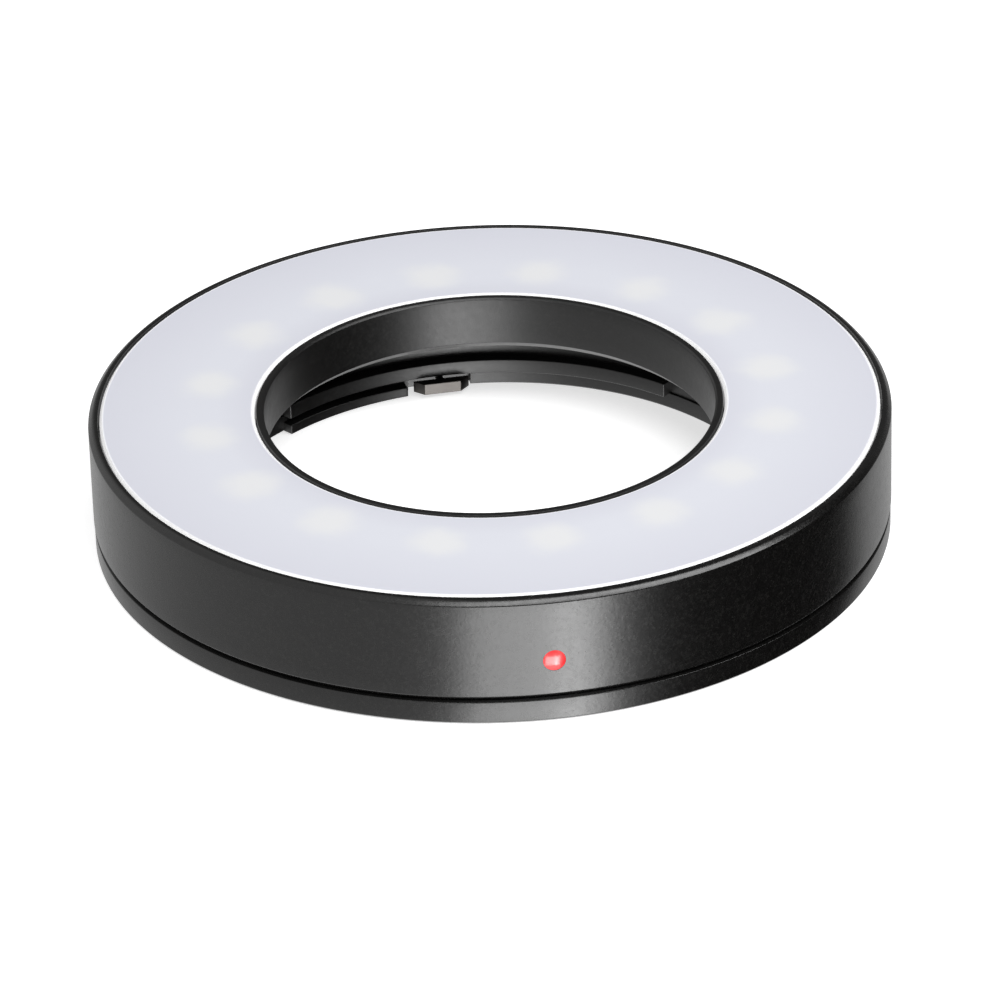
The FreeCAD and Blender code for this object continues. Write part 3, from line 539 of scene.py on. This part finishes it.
anodised = black_anodised()
dress(rear_ring, anodised, "rear_ring")


# Bayonet ring: the same black metal, screwed to the rear ring from behind. A recess wall with a
# flange carries three claws, and a cover closes the bore of the catch's spring.
web_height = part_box("bayonet_ring")[1].z
recess_inner = 22.05 * mm
flange_radius = 25.2 * mm
flange_top = 1.88 * mm
claw_top = 2.53 * mm
claw_angle = math.radians(93.5)
claw_span = math.radians(87.0)
claw_steps = 120
claw_edge = 0.08 * mm
claw_root = recess_inner + 0.35 * mm
cover_start = recess_inner + 0.2 * mm
cover_half = 1.2 * mm
cover_round = 0.1 * mm
bayonet_boss = 1.3 * mm
bayonet_boss_top = 3.4 * mm
thread_gap = 0.02 * mm
thread_end = 0.3 * mm


def post(angle, circle, bore, radius, low, high, bottom=None):
    """An upright post with a blind hole from its low end up to bottom, turned about its axis."""
    corners = [(bore, low), (radius, low), (radius, high)]
    corners += [(bore, high)] if bottom is None else [(0, high), (0, bottom), (bore, bottom)]
    return surface(placed(turned(np.array(corners), hole_steps), angle, circle))


bayonet_ring = turned_solid("bayonet_claws", [
    (recess_inner, floor_thickness, crisp), (flange_radius, floor_thickness, crisp),
    (flange_radius, flange_top, eased), (recess_outer, flange_top, eased),
    (recess_outer, web_height, broken), (recess_inner, web_height, crisp),
])
claws = [
    arc_block([
        (claw_inner, floor_thickness, claw_edge), (claw_root, floor_thickness, claw_edge),
        (claw_root, claw_top, claw_edge), (claw_inner, claw_top, claw_edge),
    ], angle, claw_span, claw_steps, claw_edge)
    for angle in spaced(claw_angle, claw_count)
]
combine(bayonet_ring, solid("claws", claws), "UNION")
catch_cover = bar(box_corners(cover_half, floor_thickness, catch_height + cover_half, cover_round),
                  cover_start, boss_reach - cover_start, broken, catch_angle)
bayonet_bosses = [
    post(angle, bayonet_screw_circle, 0, bayonet_boss, floor_thickness, bayonet_boss_top)
    for angle in bayonet_screw_angles
]
combine(bayonet_ring, solid("bosses", [catch_cover] + bayonet_bosses), "UNION")
cover_groove = rod([
    (recess_outer, 0), (recess_outer, spring_bore),
    (boss_reach + past, spring_bore), (boss_reach + past, 0),
], catch_angle, catch_height)
bayonet_holes = [
    post(angle, bayonet_screw_circle, 0, bayonet_shank + thread_gap,
         floor_thickness - past, bayonet_boss_top - thread_end)
    for angle in bayonet_screw_angles
]
combine(bayonet_ring, solid("holes", [cover_groove] + bayonet_holes))
dress(bayonet_ring, anodised, "bayonet_ring")


# Screws: seven countersunk steel screws with a black oxide finish, flush with the rear face. Four
# hold the rear ring to the housing and three hold the bayonet ring.
slot_half = 0.15 * mm
slot_low = -0.1 * mm
slot_depth = 0.25 * mm
slot_round = 0.03 * mm
rear_screw_length = 3.6 * mm
bayonet_screw_length = 2.8 * mm
screw_edge = 0.04 * mm
screw_neck = 0.06 * mm
screw_lead = 0.2 * mm


def sunk_screws(name, angles, circle, shank, head, length):
    """Countersunk screws as turned sections, each with a slot cut across its head."""
    section = rounded([
        (0, 0, 0), (head, 0, screw_edge), (shank, head - shank, screw_neck),
        (shank, length - screw_lead, screw_edge), (shank - screw_lead, length, screw_edge),
        (0, length, 0),
    ], 3)[0]
    section[:, 0] = np.maximum(section[:, 0], 0)
    bodies = [surface(placed(turned(section, hole_steps), turn, circle)) for turn in angles]
    slots = [
        bar(box_corners(slot_half, slot_low, slot_depth, slot_round),
            circle - 2 * head, 4 * head, crisp, turn)
        for turn in angles
    ]
    return combine(solid(name, bodies), solid("slots", slots))


rear_screws = sunk_screws("rear_fasteners", rear_screw_angles, rear_screw_circle,
                          rear_shank, rear_head, rear_screw_length)
bayonet_screws = sunk_screws("bayonet_fasteners", bayonet_screw_angles, bayonet_screw_circle,
                             bayonet_shank, bayonet_head, bayonet_screw_length)


def black_oxide():
    """Blackened steel: thin dark oxide over metal, worn paler in blotches."""
    material, tree, shader = new_material("black oxide", 0.6, 1.6)
    grain = placed_group(tree, blasted, Pit_Scale=6000.0, Patch_Scale=1500.0)
    colour = mixed(tree, grain.outputs["Patches"], (0.022, 0.021, 0.022), (0.045, 0.043, 0.043))
    dusted(tree, shader, colour, 0.08, (0.4, 0.39, 0.37))
    patchy_gloss(tree, shader, grain.outputs["Patches"], 0.34, 0.48)
    bumped(tree, shader, grain.outputs["Height"], 0.004 * mm)
    return material


oxide = black_oxide()
dress(rear_screws, oxide, "rear_screws")
dress(bayonet_screws, oxide, "bayonet_screws")


# Catch: a small steel tongue with sloped ends, on a stem with a collar. It is pushed outwards
# against its coil spring, which a slotted plug holds in the boss.
catch_nose = 20.2 * mm
catch_face = 1.45 * mm
catch_slope = 0.8 * mm
catch_low = 0.35 * mm
catch_high = 1.28 * mm
stem_radius = 0.3 * mm
stem_end = 23.35 * mm
collar_radius = 0.55 * mm
collar_thickness = 0.3 * mm
stem_edge = 0.08 * mm
nose_round = 0.12 * mm
root_round = 0.04 * mm
catch_root = catch_nose + catch_slope
stem_start = catch_nose + catch_slope / 2


def upright_bar(corners, low, high, edge, angle):
    """A plan of (x outwards, y round the ring, rounding) carried upwards, with rounded ends."""
    outline, normals = rounded(corners)
    heights, sections = eased_ends(outline, normals, np.linspace(low, high, 3), edge)
    height = np.broadcast_to(heights, sections.shape[:2])
    points = np.stack([sections[..., 0], sections[..., 1], height], axis=2)
    return surface(placed(points, angle), capped=True)


catch_head = upright_bar([
    (catch_root, -(catch_face + catch_slope), root_round), (catch_nose, -catch_face, nose_round),
    (catch_nose, catch_face, nose_round), (catch_root, catch_face + catch_slope, root_round),
], catch_low, catch_high, broken, catch_angle)
catch_tongue = solid("catch_leaf", [catch_head])
catch_stem = rod([
    (stem_start, 0), (stem_start, stem_radius),
    (recess_outer, stem_radius), (recess_outer, collar_radius),
    (recess_outer + collar_thickness, collar_radius),
    (recess_outer + collar_thickness, stem_radius),
    (stem_end - stem_edge, stem_radius), (stem_end, stem_radius - stem_edge), (stem_end, 0),
], catch_angle, catch_height)
combine(catch_tongue, solid("stem", [catch_stem]), "UNION")


def brushed_group():
    """Rolled or drawn metal: long fine scratches as height, and blotches for gloss."""
    inputs = [("Line Scale", 3000.0), ("Blotch Scale", 500.0)]
    tree, start, end = new_group("drawn metal", inputs, ["Height", "Blotches"])
    place = own_place(tree)
    stretch = tree.nodes.new("ShaderNodeMapping")
    stretch.inputs["Scale"].default_value = (0.12, 0.12, 1.0)
    tree.links.new(place, stretch.inputs["Vector"])
    lines = noise(tree, stretch.outputs[0], start.outputs["Line Scale"], 3.0, 0.6)
    tree.links.new(lines, end.inputs["Height"])
    blotches = noise(tree, place, start.outputs["Blotch Scale"], 4.0, 0.6)
    tree.links.new(between(tree, blotches, 0.35, 0.65), end.inputs["Blotches"])
    return tree


drawn = brushed_group()


def metal(name, dark, light, rough_low, rough_high, line_scale=3000.0):
    """Bare or plated metal with drawn lines, blotches and a trace of dust in its colour."""
    material, tree, shader = new_material(name, 1.0)
    lines = placed_group(tree, drawn, Line_Scale=line_scale)
    blotches = lines.outputs["Blotches"]
    colour = mixed(tree, blotches, dark, light)
    dusted(tree, shader, colour, 0.12, (0.4, 0.39, 0.37))
    patchy_gloss(tree, shader, blotches, rough_low, rough_high)
    bumped(tree, shader, lines.outputs["Height"], 0.004 * mm)
    return material


spring_steel = metal("spring steel", (0.043, 0.040, 0.038), (0.078, 0.073, 0.069), 0.28, 0.42)
dress(catch_tongue, spring_steel, "catch_tongue", "catch")


def finish_node(node, material):
    """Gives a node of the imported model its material, in every slot."""
    mesh = frame["nodes"][node].data
    if not mesh.materials:
        mesh.materials.append(material)
    for number in range(len(mesh.materials)):
        mesh.materials[number] = material


for node in ("catch_spring", "catch_plug"):
    finish_node(node, spring_steel)


# Front housing: the wide turned ring above the seam, black anodised like the rear. Outer wall,
# bore tube and the web between them are one piece; the opal plate sits in its open channel.
housing_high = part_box("front_housing")[1]
housing_radius = housing_high.x
top_height = housing_high.z
skirt_inner = 28.85 * mm
seam_lead = 0.42 * mm
edge_break = 0.15 * mm
front_break = 0.4 * mm
front_round = 0.5 * mm
wall_round = 0.12 * mm
rim_round = 0.04 * mm
fillet = 0.2 * mm
bore_radius = frame["record"]["mounts"][0]["dims"]["r_mm"] * mm
bore_lead = 0.55 * mm
rim_outer = 29.36 * mm
rim_inner = 17.5 * mm
shelf_height = 8.7 * mm
chamber_outer = 28.46 * mm
chamber_inner = 18.4 * mm
web_top = 6.5 * mm
post_radius = 1.3 * mm
driver_top = 2.88 * mm
socket_height = 2.45 * mm
window_half = socket_half + window_gap
window_low = driver_top - window_gap
window_high = driver_top + socket_height + window_gap
window_start = skirt_inner - 0.6 * mm
window_depth = 4.0 * mm
socket_round = 0.3 * mm
bead_angle = math.radians(277.8)
bead_height = 5.0 * mm
bead_radius = 0.82 * mm
bead_gap = 0.01 * mm
bead_steps = 64
bead_seat = housing_radius - 0.8 * mm
board_screw_angles = spaced(0.0, 4)
board_screw_circle = 26.4 * mm
board_boss_low = 4.1 * mm
board_hole = 0.72 * mm
driver_boss = 1.1 * mm
driver_hole_low = driver_top - 0.5 * mm
driver_hole_high = driver_top + 1.7 * mm
sunk_root = web_height + 0.2 * mm
driver_boss_across = 25.75 * mm
driver_boss_aside = 6.66 * mm
lead_angle = math.radians(157.5)
lead_slot_inner = 26.1 * mm
lead_slot_outer = 27.6 * mm
lead_slot_half = 1.25 * mm
lead_slot_round = 0.1 * mm



def driver_posts(radius, low, high):
    """Two upright rods, one on each side of the inlet, where the driver board is screwed on."""
    corners = np.array([(0, low), (radius, low), (radius, high), (0, high)])
    rods = [turned(corners, hole_steps) + (0, side * driver_boss_aside, 0) for side in (-1, 1)]
    return [surface(placed(upright, inlet_angle, driver_boss_across)) for upright in rods]


front_housing = turned_solid("front_shell", [
    (skirt_inner, seam_height, broken), (seam_radius, seam_height, broken),
    (housing_radius, seam_height + seam_lead, wall_round),
    (housing_radius, top_height - front_break, wall_round),
    (housing_radius - front_break, top_height, front_round), (rim_outer, top_height, rim_round),
    (rim_outer, shelf_height, rim_round), (chamber_outer, shelf_height, broken),
    (chamber_outer, web_top, fillet), (chamber_inner, web_top, fillet),
    (chamber_inner, shelf_height, broken), (rim_inner, shelf_height, rim_round),
    (rim_inner, top_height, rim_round), (bore_radius + edge_break, top_height, broken),
    (bore_radius, top_height - edge_break, broken), (bore_radius, web_height + bore_lead, eased),
    (bore_radius + bore_lead, web_height, eased), (skirt_inner, web_height, fillet),
])
posts = [
    post(angle, rear_screw_circle, rear_shank + thread_gap, post_radius,
         floor_thickness, sunk_root, rear_screw_length + thread_end)
    for angle in rear_screw_angles
]
posts += [
    post(angle, board_screw_circle, 0, post_radius, board_boss_low, sunk_root)
    for angle in board_screw_angles
]
posts += driver_posts(driver_boss, driver_top, sunk_root)
combine(front_housing, solid("posts", posts), "UNION")
openings = [
    post(angle, board_screw_circle, 0, board_hole, board_boss_low + thread_end, web_top + past)
    for angle in board_screw_angles
]
openings += driver_posts(board_hole, driver_hole_low, driver_hole_high)
openings.append(bar(box_corners(window_half, window_low, window_high, socket_round),
                    window_start, window_depth, 0.0, inlet_angle))
openings.append(bar(box_corners(lead_slot_half, web_height - past, web_top + past, lead_slot_round),
                    lead_slot_inner, lead_slot_outer - lead_slot_inner, broken, lead_angle))
openings.append(rod([
    (bead_seat, 0), (bead_seat, bead_radius + bead_gap),
    (housing_radius + past, bead_radius + bead_gap), (housing_radius + past, 0),
], bead_angle, bead_height, bead_steps))
combine(front_housing, solid("openings", openings))
dress(front_housing, anodised, "front_housing")


# Index bead: a small pin pressed into the wall, its domed end in gloss red enamel. It marks how
# the ring goes on.
bead_proud = 0.1 * mm
bead_dome = 2.8 * mm
bead_reach = np.linspace(bead_radius, 0, 24)
bead_front = housing_radius + bead_proud - bead_reach ** 2 / (2 * bead_dome)
bead_outline = np.concatenate([
    [(bead_seat, 0), (bead_seat, bead_radius)], np.stack([bead_front, bead_reach], axis=1),
])
index_bead = solid("red_bead", [rod(bead_outline, bead_angle, bead_height, bead_steps)])


def red_enamel():
    """Gloss red enamel over its own slightly wavy surface, with a clear coat."""
    material, tree, shader = new_material("red enamel", 0.0, 1.5)
    place = own_place(tree)
    cloud = between(tree, noise(tree, place, 1400.0, 3.0), 0.35, 0.65)
    colour = mixed(tree, cloud, (0.80, 0.014, 0.018), (0.90, 0.022, 0.026))
    dusted(tree, shader, colour, 0.03, (0.6, 0.55, 0.53))
    patchy_gloss(tree, shader, cloud, 0.22, 0.28)
    shader.inputs["Coat Weight"].default_value = 0.9
    shader.inputs["Coat Roughness"].default_value = 0.13
    bumped(tree, shader, noise(tree, place, 2200.0, 1.0), 0.006 * mm)
    return material


dress(index_bead, red_enamel(), "index_bead")


# Diffuser: an opal acrylic plate, fine matt on top, with eased edges that carry a painted highlight:
# near-white colour and a faint painted glow. The lamps below show through it, unlit, as sixteen faint
# warm spots.
diffuser_low, diffuser_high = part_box("diffuser")
plate_outer = diffuser_high.x
plate_inner = 17.62 * mm
plate_low = diffuser_low.z
plate_edge = 0.2 * mm
plate_cut = 0.03 * mm
plate_round = 0.07 * mm
lamp_count = 16
lamp_circle = 21.4 * mm
lamp_half = 1.0 * mm
spot_edge = 3.2 * mm
spot_core = 0.4 * mm
spot_uneven = 0.4 * mm

plate_outline = rounded([
    (plate_inner, plate_low, plate_cut), (plate_outer, plate_low, plate_cut),
    (plate_outer, top_height - plate_edge, plate_round),
    (plate_outer - plate_edge, top_height, plate_round),
    (plate_inner + plate_edge, top_height, plate_round),
    (plate_inner, top_height - plate_edge, plate_round),
])[0]
diffuser = solid("opal_face", [surface(turned(plate_outline))])


def opal_plate():
    """Opal acrylic: cool white, paler over the lamps, a warm spot for each, and a painted highlight
    on its cut edges.

    A spot is a bell of the distance from its lamp, found by folding the angle round the ring into one
    lamp's share and laying it out as (radius, arc length). The cut edges are painted near white and
    given a faint painted glow, though the plate is unlit: a painted highlight.
    """
    material, tree, shader = new_material("opal plate", 0.0, 1.49, 0.45)
    place = own_place(tree)
    axis = placed_group(tree, about_axis)
    radius = axis.outputs["Radius"]
    share = worked_out(tree, "MULTIPLY", axis.outputs["Angle"], lamp_count / math.tau)
    share = worked_out(tree, "FRACT", worked_out(tree, "ADD", share, lamp_count), 0.0)
    arc = worked_out(tree, "SUBTRACT", share, 0.5)
    arc = worked_out(tree, "MULTIPLY", arc, math.tau / lamp_count * lamp_circle)
    away = worked_out(tree, "SUBTRACT", radius, lamp_circle)
    squares = worked_out(tree, "MULTIPLY", arc, arc)
    squares = worked_out(tree, "MULTIPLY_ADD", away, away, squares)
    distance = worked_out(tree, "SQRT", squares, 0.0)
    uneven = noise(tree, place, 350.0, 2.0)
    uneven = between(tree, uneven, 0.3, 0.7, -spot_uneven, spot_uneven)
    distance = worked_out(tree, "ADD", distance, uneven)
    spot = tree.nodes.new("ShaderNodeMapRange")
    spot.interpolation_type = "SMOOTHERSTEP"
    spot.inputs["From Min"].default_value = spot_edge
    spot.inputs["From Max"].default_value = spot_core
    tree.links.new(distance, spot.inputs["Value"])
    inside = between(tree, radius, plate_inner, lamp_circle - lamp_half, 0.0, 0.9)
    outside = between(tree, radius, lamp_circle + lamp_half, plate_outer, 1.0, 0.0)
    cloud = between(tree, noise(tree, place, 90.0, 3.0), 0.35, 0.65, 0.0, 0.1)
    band = worked_out(tree, "MULTIPLY_ADD", inside, outside, cloud)
    face = mixed(tree, band, (0.668, 0.675, 0.744), (0.724, 0.738, 0.800))
    face = mixed(tree, spot.outputs[0], face, (0.785, 0.79, 0.805))
    # Painted highlight: a band along both cut edges is painted near white.
    highlight_fade_reach = 1.7 * plate_edge
    highlight_full_reach = 0.7 * plate_edge
    painted_outer_edge_highlight = between(tree, radius, plate_outer - highlight_fade_reach, plate_outer - highlight_full_reach)
    painted_inner_edge_highlight = between(tree, radius, plate_inner + highlight_fade_reach, plate_inner + highlight_full_reach)
    edge = worked_out(tree, "MAXIMUM", painted_outer_edge_highlight, painted_inner_edge_highlight)
    colour = mixed(tree, edge, face, (0.97, 0.97, 0.97))
    dusted(tree, shader, colour, 0.04, (0.5, 0.49, 0.47))
    # Painted glow: the same edge band emits a little light, though the plate is no lamp.
    glow = mixed(tree, edge, (0.0, 0.0, 0.0), (1.0, 1.0, 1.0))
    tree.links.new(glow, shader.inputs["Emission Color"])
    shader.inputs["Emission Strength"].default_value = 0.2
    grain = placed_group(tree, blasted, Pit_Scale=2600.0)
    bumped(tree, shader, grain.outputs["Height"], 0.004 * mm)
    return material


dress(diffuser, opal_plate(), "diffuser")


# Power inlet: a folded steel shell, nickel plated, on the driver board; inside it a black moulded
# tongue carries five gold-plated contacts.
socket_corner = 0.9 * mm
socket_wall = 0.25 * mm
socket_face = housing_radius - 0.4 * mm
socket_back = socket_face - 5.0 * mm


def inlet_outline(inset):
    """The mouth: a rounded rectangle with its two lower corners cut, drawn in by inset."""
    half = socket_half - inset
    low = driver_top + inset
    high = driver_top + socket_height - inset
    corner = socket_corner - inset / 2
    turn = socket_round - inset / 2
    return rounded([
        (corner - half, low, turn), (half - corner, low, turn), (half, low + corner, turn),
        (half, high, turn), (-half, high, turn), (-half, low + corner, turn),
    ])[0]


shell_stations = [
    (socket_back, 0.0), (socket_face - broken, 0.0), (socket_face, broken),
    (socket_face, socket_wall - broken), (socket_face - broken, socket_wall),
    (socket_back + socket_wall, socket_wall),
]
shell_grid = np.stack([
    np.column_stack([np.full(len(inlet_outline(inset)), place), inlet_outline(inset)])
    for place, inset in shell_stations
], axis=1)
inlet_shell = solid("inlet_shell", [surface(placed(shell_grid, inlet_angle), capped=True)])
nickel = metal("nickel plate", (0.50, 0.49, 0.47), (0.62, 0.61, 0.59), 0.22, 0.36, 5000.0)
dress(inlet_shell, nickel, "socket_shell")


def moulded(name, dark, light, rough, depth=0.004 * mm, ior=1.5):
    """Plastic, rubber or ceramic: mottled between two colours, finely pitted, a little dusty."""
    material, tree, shader = new_material(name, 0.0, ior)
    grain = placed_group(tree, blasted, Pit_Scale=5000.0)
    colour = mixed(tree, grain.outputs["Patches"], dark, light)
    dusted(tree, shader, colour, 0.05, (0.5, 0.48, 0.45))
    patchy_gloss(tree, shader, grain.outputs["Patches"], rough - 0.05, rough + 0.05)
    bumped(tree, shader, grain.outputs["Height"], depth)
    return material


finish_node("socket_tongue", moulded("inlet plastic", (0.018, 0.018, 0.019),
                                     (0.026, 0.026, 0.027), 0.42))
gold = metal("gold plate", (0.78, 0.55, 0.22), (0.86, 0.66, 0.31), 0.18, 0.3, 7000.0)
finish_node("socket_contacts", gold)


# Driver board: glass-fibre board with green solder mask over its copper, under it a sheet of
# insulating film. It hangs from two bosses and carries the converter's chip, coil and capacitors.
def circuit_board(name, mask_dark, mask_light, copper, track_step, rough):
    """Solder mask over copper: tracks run round the ring as bands of the radius.

    A band is where the saw wave of radius / step lies under a half that a slow noise shifts.
    """
    material, tree, shader = new_material(name, 0.0, 1.5)
    grain = placed_group(tree, blasted, Pit_Scale=6000.0, Patch_Scale=1600.0)
    place = own_place(tree)
    radius = placed_group(tree, about_axis).outputs["Radius"]
    saw = worked_out(tree, "FRACT", worked_out(tree, "DIVIDE", radius, track_step), 0.0)
    shift = between(tree, noise(tree, place, 240.0, 1.0), 0.4, 0.6, 0.2, 0.8)
    track = worked_out(tree, "LESS_THAN", saw, shift)
    mask = mixed(tree, grain.outputs["Patches"], mask_dark, mask_light)
    colour = mixed(tree, worked_out(tree, "MULTIPLY", track, 0.45), mask, copper)
    dusted(tree, shader, colour, 0.05, (0.5, 0.48, 0.45))
    patchy_gloss(tree, shader, grain.outputs["Patches"], rough - 0.06, rough + 0.06)
    relief = worked_out(tree, "MULTIPLY_ADD", track, 3.0, grain.outputs["Height"])
    bumped(tree, shader, relief, 0.003 * mm)
    return material


finish_node("driver_board", circuit_board("green board", (0.012, 0.10, 0.040), (0.018, 0.13, 0.055),
                                          (0.10, 0.26, 0.10), 0.8 * mm, 0.3))
finish_node("insulating_sheet", moulded("insulating film", (0.10, 0.115, 0.14),
                                        (0.13, 0.145, 0.17), 0.5, 0.008 * mm))
moulded_black = moulded("moulded black", (0.017, 0.017, 0.018), (0.026, 0.026, 0.027), 0.55)
for node in ("driver_chip", "power_inductor", "led_resistors"):
    finish_node(node, moulded_black)
finish_node("capacitors", moulded("fired ceramic", (0.44, 0.31, 0.19), (0.54, 0.40, 0.26), 0.45))
finish_node("driver_screws", nickel)


# Light board: an aluminium-core ring with white solder mask, on a soft grey heat pad, held by four
# pan-head screws. Sixteen white lamp cases on it are filled with yellow silicone.
finish_node("thermal_pad", moulded("heat pad", (0.27, 0.31, 0.35), (0.33, 0.37, 0.41), 0.75,
                                   0.010 * mm, 1.4))
finish_node("led_board", circuit_board("white board", (0.76, 0.76, 0.73), (0.82, 0.82, 0.79),
                                       (0.70, 0.68, 0.62), 1.6 * mm, 0.34))
finish_node("led_packages", moulded("lamp case", (0.82, 0.82, 0.80), (0.87, 0.87, 0.85), 0.3))
finish_node("led_phosphors", moulded("lamp filling", (0.78, 0.58, 0.07), (0.86, 0.68, 0.12), 0.2,
                                     0.002 * mm, 1.42))
finish_node("board_screws", nickel)


# Leads: two silicone-covered wires, one red and one black, soldered between the boards. Two rings
# of clear film tape hold the diffuser down on its shelves.
finish_node("red_lead", moulded("red sleeve", (0.42, 0.012, 0.010), (0.52, 0.018, 0.014), 0.5,
                                0.006 * mm, 1.43))
finish_node("black_lead", moulded("black sleeve", (0.014, 0.014, 0.015), (0.022, 0.022, 0.023),
                                  0.5, 0.006 * mm, 1.43))
finish_node("solder_joints", metal("bright tin", (0.60, 0.60, 0.61), (0.70, 0.70, 0.71), 0.2, 0.38))
clear_tape = moulded("clear tape", (0.70, 0.70, 0.66), (0.76, 0.76, 0.72), 0.28, 0.003 * mm, 1.47)
for node in ("outer_tape", "inner_tape"):
    finish_node(node, clear_tape)


# Studio: a pale floor whose white is its own colour plus a little glow that only the camera and
# clear rays see, so it keeps the ring's shadow. The ring's gloss mirrors a plain room instead:
# white below and on the left, brightest from straight below, dim above, with a dark board on the
# right and soft boxes in front.
floor_size = 4.0
floor_gap = 0.02 * mm
floor_mesh = bpy.data.meshes.new("floor")
half = floor_size / 2
floor_corners = [(-half, -half), (half, -half), (half, half), (-half, half)]
floor_mesh.from_pydata([(x, y, -floor_gap) for x, y in floor_corners], [], [(0, 1, 2, 3)])
floor = bpy.data.objects.new("floor", floor_mesh)
bpy.context.scene.collection.objects.link(floor)
floor.visible_glossy = False
floor.visible_shadow = False


def floor_material():
    """Pale matt paint, clear from below; the glow lifts what camera and clear rays see to white."""
    material, tree, shader = new_material("pale floor", 0.0, 1.45, 0.9)
    shader.inputs["Base Color"].default_value = (0.8, 0.8, 0.8, 1)
    shader.inputs["Specular IOR Level"].default_value = 0.0
    path = tree.nodes.new("ShaderNodeLightPath")
    seen = worked_out(tree, "MAXIMUM", path.outputs["Is Camera Ray"],
                      path.outputs["Is Transmission Ray"])
    glow = worked_out(tree, "MULTIPLY", seen, 0.65)
    shader.inputs["Emission Color"].default_value = (1, 1, 1, 1)
    tree.links.new(glow, shader.inputs["Emission Strength"])
    below = tree.nodes.new("ShaderNodeNewGeometry").outputs["Backfacing"]
    tree.links.new(worked_out(tree, "SUBTRACT", 1.0, below), shader.inputs["Alpha"])
    return material


floor.data.materials.append(floor_material())

world = bpy.data.worlds.new("studio")
bpy.context.scene.world = world
world.use_nodes = True
room_light = 0.35
room_white = 0.7
room_dim = 0.15
room_deep = 1.6
left_from = math.radians(-150)
left_to = math.radians(-20)
left_soft = math.radians(15)
board_from = math.radians(42)
board_to = math.radians(127)
board_soft = math.radians(6)


def stretch_of_room(tree, azimuth, first, last, soft):
    """One between two azimuths and nothing beyond them, with soft ends."""
    near_side = between(tree, azimuth, first - soft, first + soft)
    far_side = between(tree, azimuth, last - soft, last + soft, 1.0, 0.0)
    return worked_out(tree, "MULTIPLY", near_side, far_side)


def studio_room():
    """The room that the gloss mirrors: a colour for each direction, from its azimuth and height.

    Azimuth is atan2(x, -y), 0 towards the camera's side. Diffuse rays see an even grey instead.
    """
    tree = world.node_tree
    background = tree.nodes["Background"]
    split = tree.nodes.new("ShaderNodeSeparateXYZ")
    tree.links.new(tree.nodes.new("ShaderNodeTexCoord").outputs["Generated"], split.inputs[0])
    front = worked_out(tree, "MULTIPLY", split.outputs["Y"], -1.0)
    azimuth = worked_out(tree, "ARCTAN2", split.outputs["X"], front)
    board = stretch_of_room(tree, azimuth, board_from, board_to, board_soft)
    left = stretch_of_room(tree, azimuth, left_from, left_to, left_soft)
    above = between(tree, left, 0.0, 1.0, room_dim, room_white)
    below = between(tree, split.outputs["Z"], -0.02, 0.04, 1.0, 0.0)
    rest = worked_out(tree, "SUBTRACT", room_white, above)
    level = worked_out(tree, "MULTIPLY_ADD", rest, below, above)
    deep = between(tree, split.outputs["Z"], -0.75, -0.62, room_deep, 0.0)
    level = worked_out(tree, "MAXIMUM", level, deep)
    level = worked_out(tree, "MULTIPLY", level, worked_out(tree, "SUBTRACT", 1.0, board))
    path = tree.nodes.new("ShaderNodeLightPath")
    level = worked_out(tree, "MAXIMUM", level, path.outputs["Is Camera Ray"])
    mirrored = worked_out(tree, "MAXIMUM", path.outputs["Is Camera Ray"],
                          path.outputs["Is Glossy Ray"])
    mirrored = worked_out(tree, "MAXIMUM", mirrored, path.outputs["Is Transmission Ray"])
    level = worked_out(tree, "SUBTRACT", level, room_light)
    level = worked_out(tree, "MULTIPLY_ADD", level, mirrored, room_light)
    tree.links.new(level, background.inputs["Strength"])
    background.inputs["Color"].default_value = (1, 1, 1, 1)


studio_room()


def lamp(name, azimuth, elevation, distance, width, height, power, roll=0.0):
    """A soft rectangular lamp aimed at the ring's middle; azimuth 0 is the camera's side.

    Roll turns it about its own beam.
    """
    light = bpy.data.lights.new(name, "AREA")
    light.shape = "RECTANGLE"
    light.size = width
    light.size_y = height
    light.energy = power
    turn = math.radians(azimuth)
    rise = math.radians(elevation)
    way = Vector((math.sin(turn) * math.cos(rise), -math.cos(turn) * math.cos(rise), math.sin(rise)))
    item = bpy.data.objects.new(name, light)
    facing = way.to_track_quat("Z", "Y").to_matrix() @ Matrix.Rotation(math.radians(roll), 3, "Z")
    item.matrix_world = Matrix.Translation(way * distance) @ facing.to_4x4()
    bpy.context.scene.collection.objects.link(item)
    return item


lamp("top box", 0, 80, 0.7, 0.5, 0.5, 1.0).visible_glossy = False
lamp("high box", 48, 56, 0.6, 0.85, 0.14, 3.2, -25)
lamp("low box", 7, -28, 0.6, 0.30, 0.3, 1.65)
lamp("low strip", 24, -28, 0.6, 0.12, 0.3, 0.78)

camera_elevation = math.radians(28.13)
camera_roll = math.radians(1.70)
camera_distance = 0.480
focal_pixels = 6404.0
frame_pixels = 1000.0
sensor_width = 36.0
aim_pixel = (489.5, 401.7)

camera_data = bpy.data.cameras.new("camera")
camera_data.sensor_width = sensor_width
camera_data.lens = focal_pixels / frame_pixels * sensor_width
camera_data.clip_start = 0.01
camera_data.clip_end = 10.0
camera = bpy.data.objects.new("camera", camera_data)
bpy.context.scene.collection.objects.link(camera)
bpy.context.scene.camera = camera
backwards = Vector((0, -math.cos(camera_elevation), math.sin(camera_elevation)))
upright = Vector((0, math.sin(camera_elevation), math.cos(camera_elevation)))
level = Matrix((Vector((1, 0, 0)), upright, backwards)).transposed()
to_aim = Vector((aim_pixel[0] - frame_pixels / 2, frame_pixels / 2 - aim_pixel[1], -focal_pixels))
off_centre = to_aim.normalized().rotation_difference(Vector((0, 0, -1))).to_matrix()
rolled = Matrix.Rotation(-camera_roll, 3, "Z")
facing = level @ rolled @ off_centre
place = Vector((0, 0, top_height)) + backwards * camera_distance
camera.matrix_world = Matrix.Translation(place) @ facing.to_4x4()

bpy.context.scene.view_settings.view_transform = "Standard"
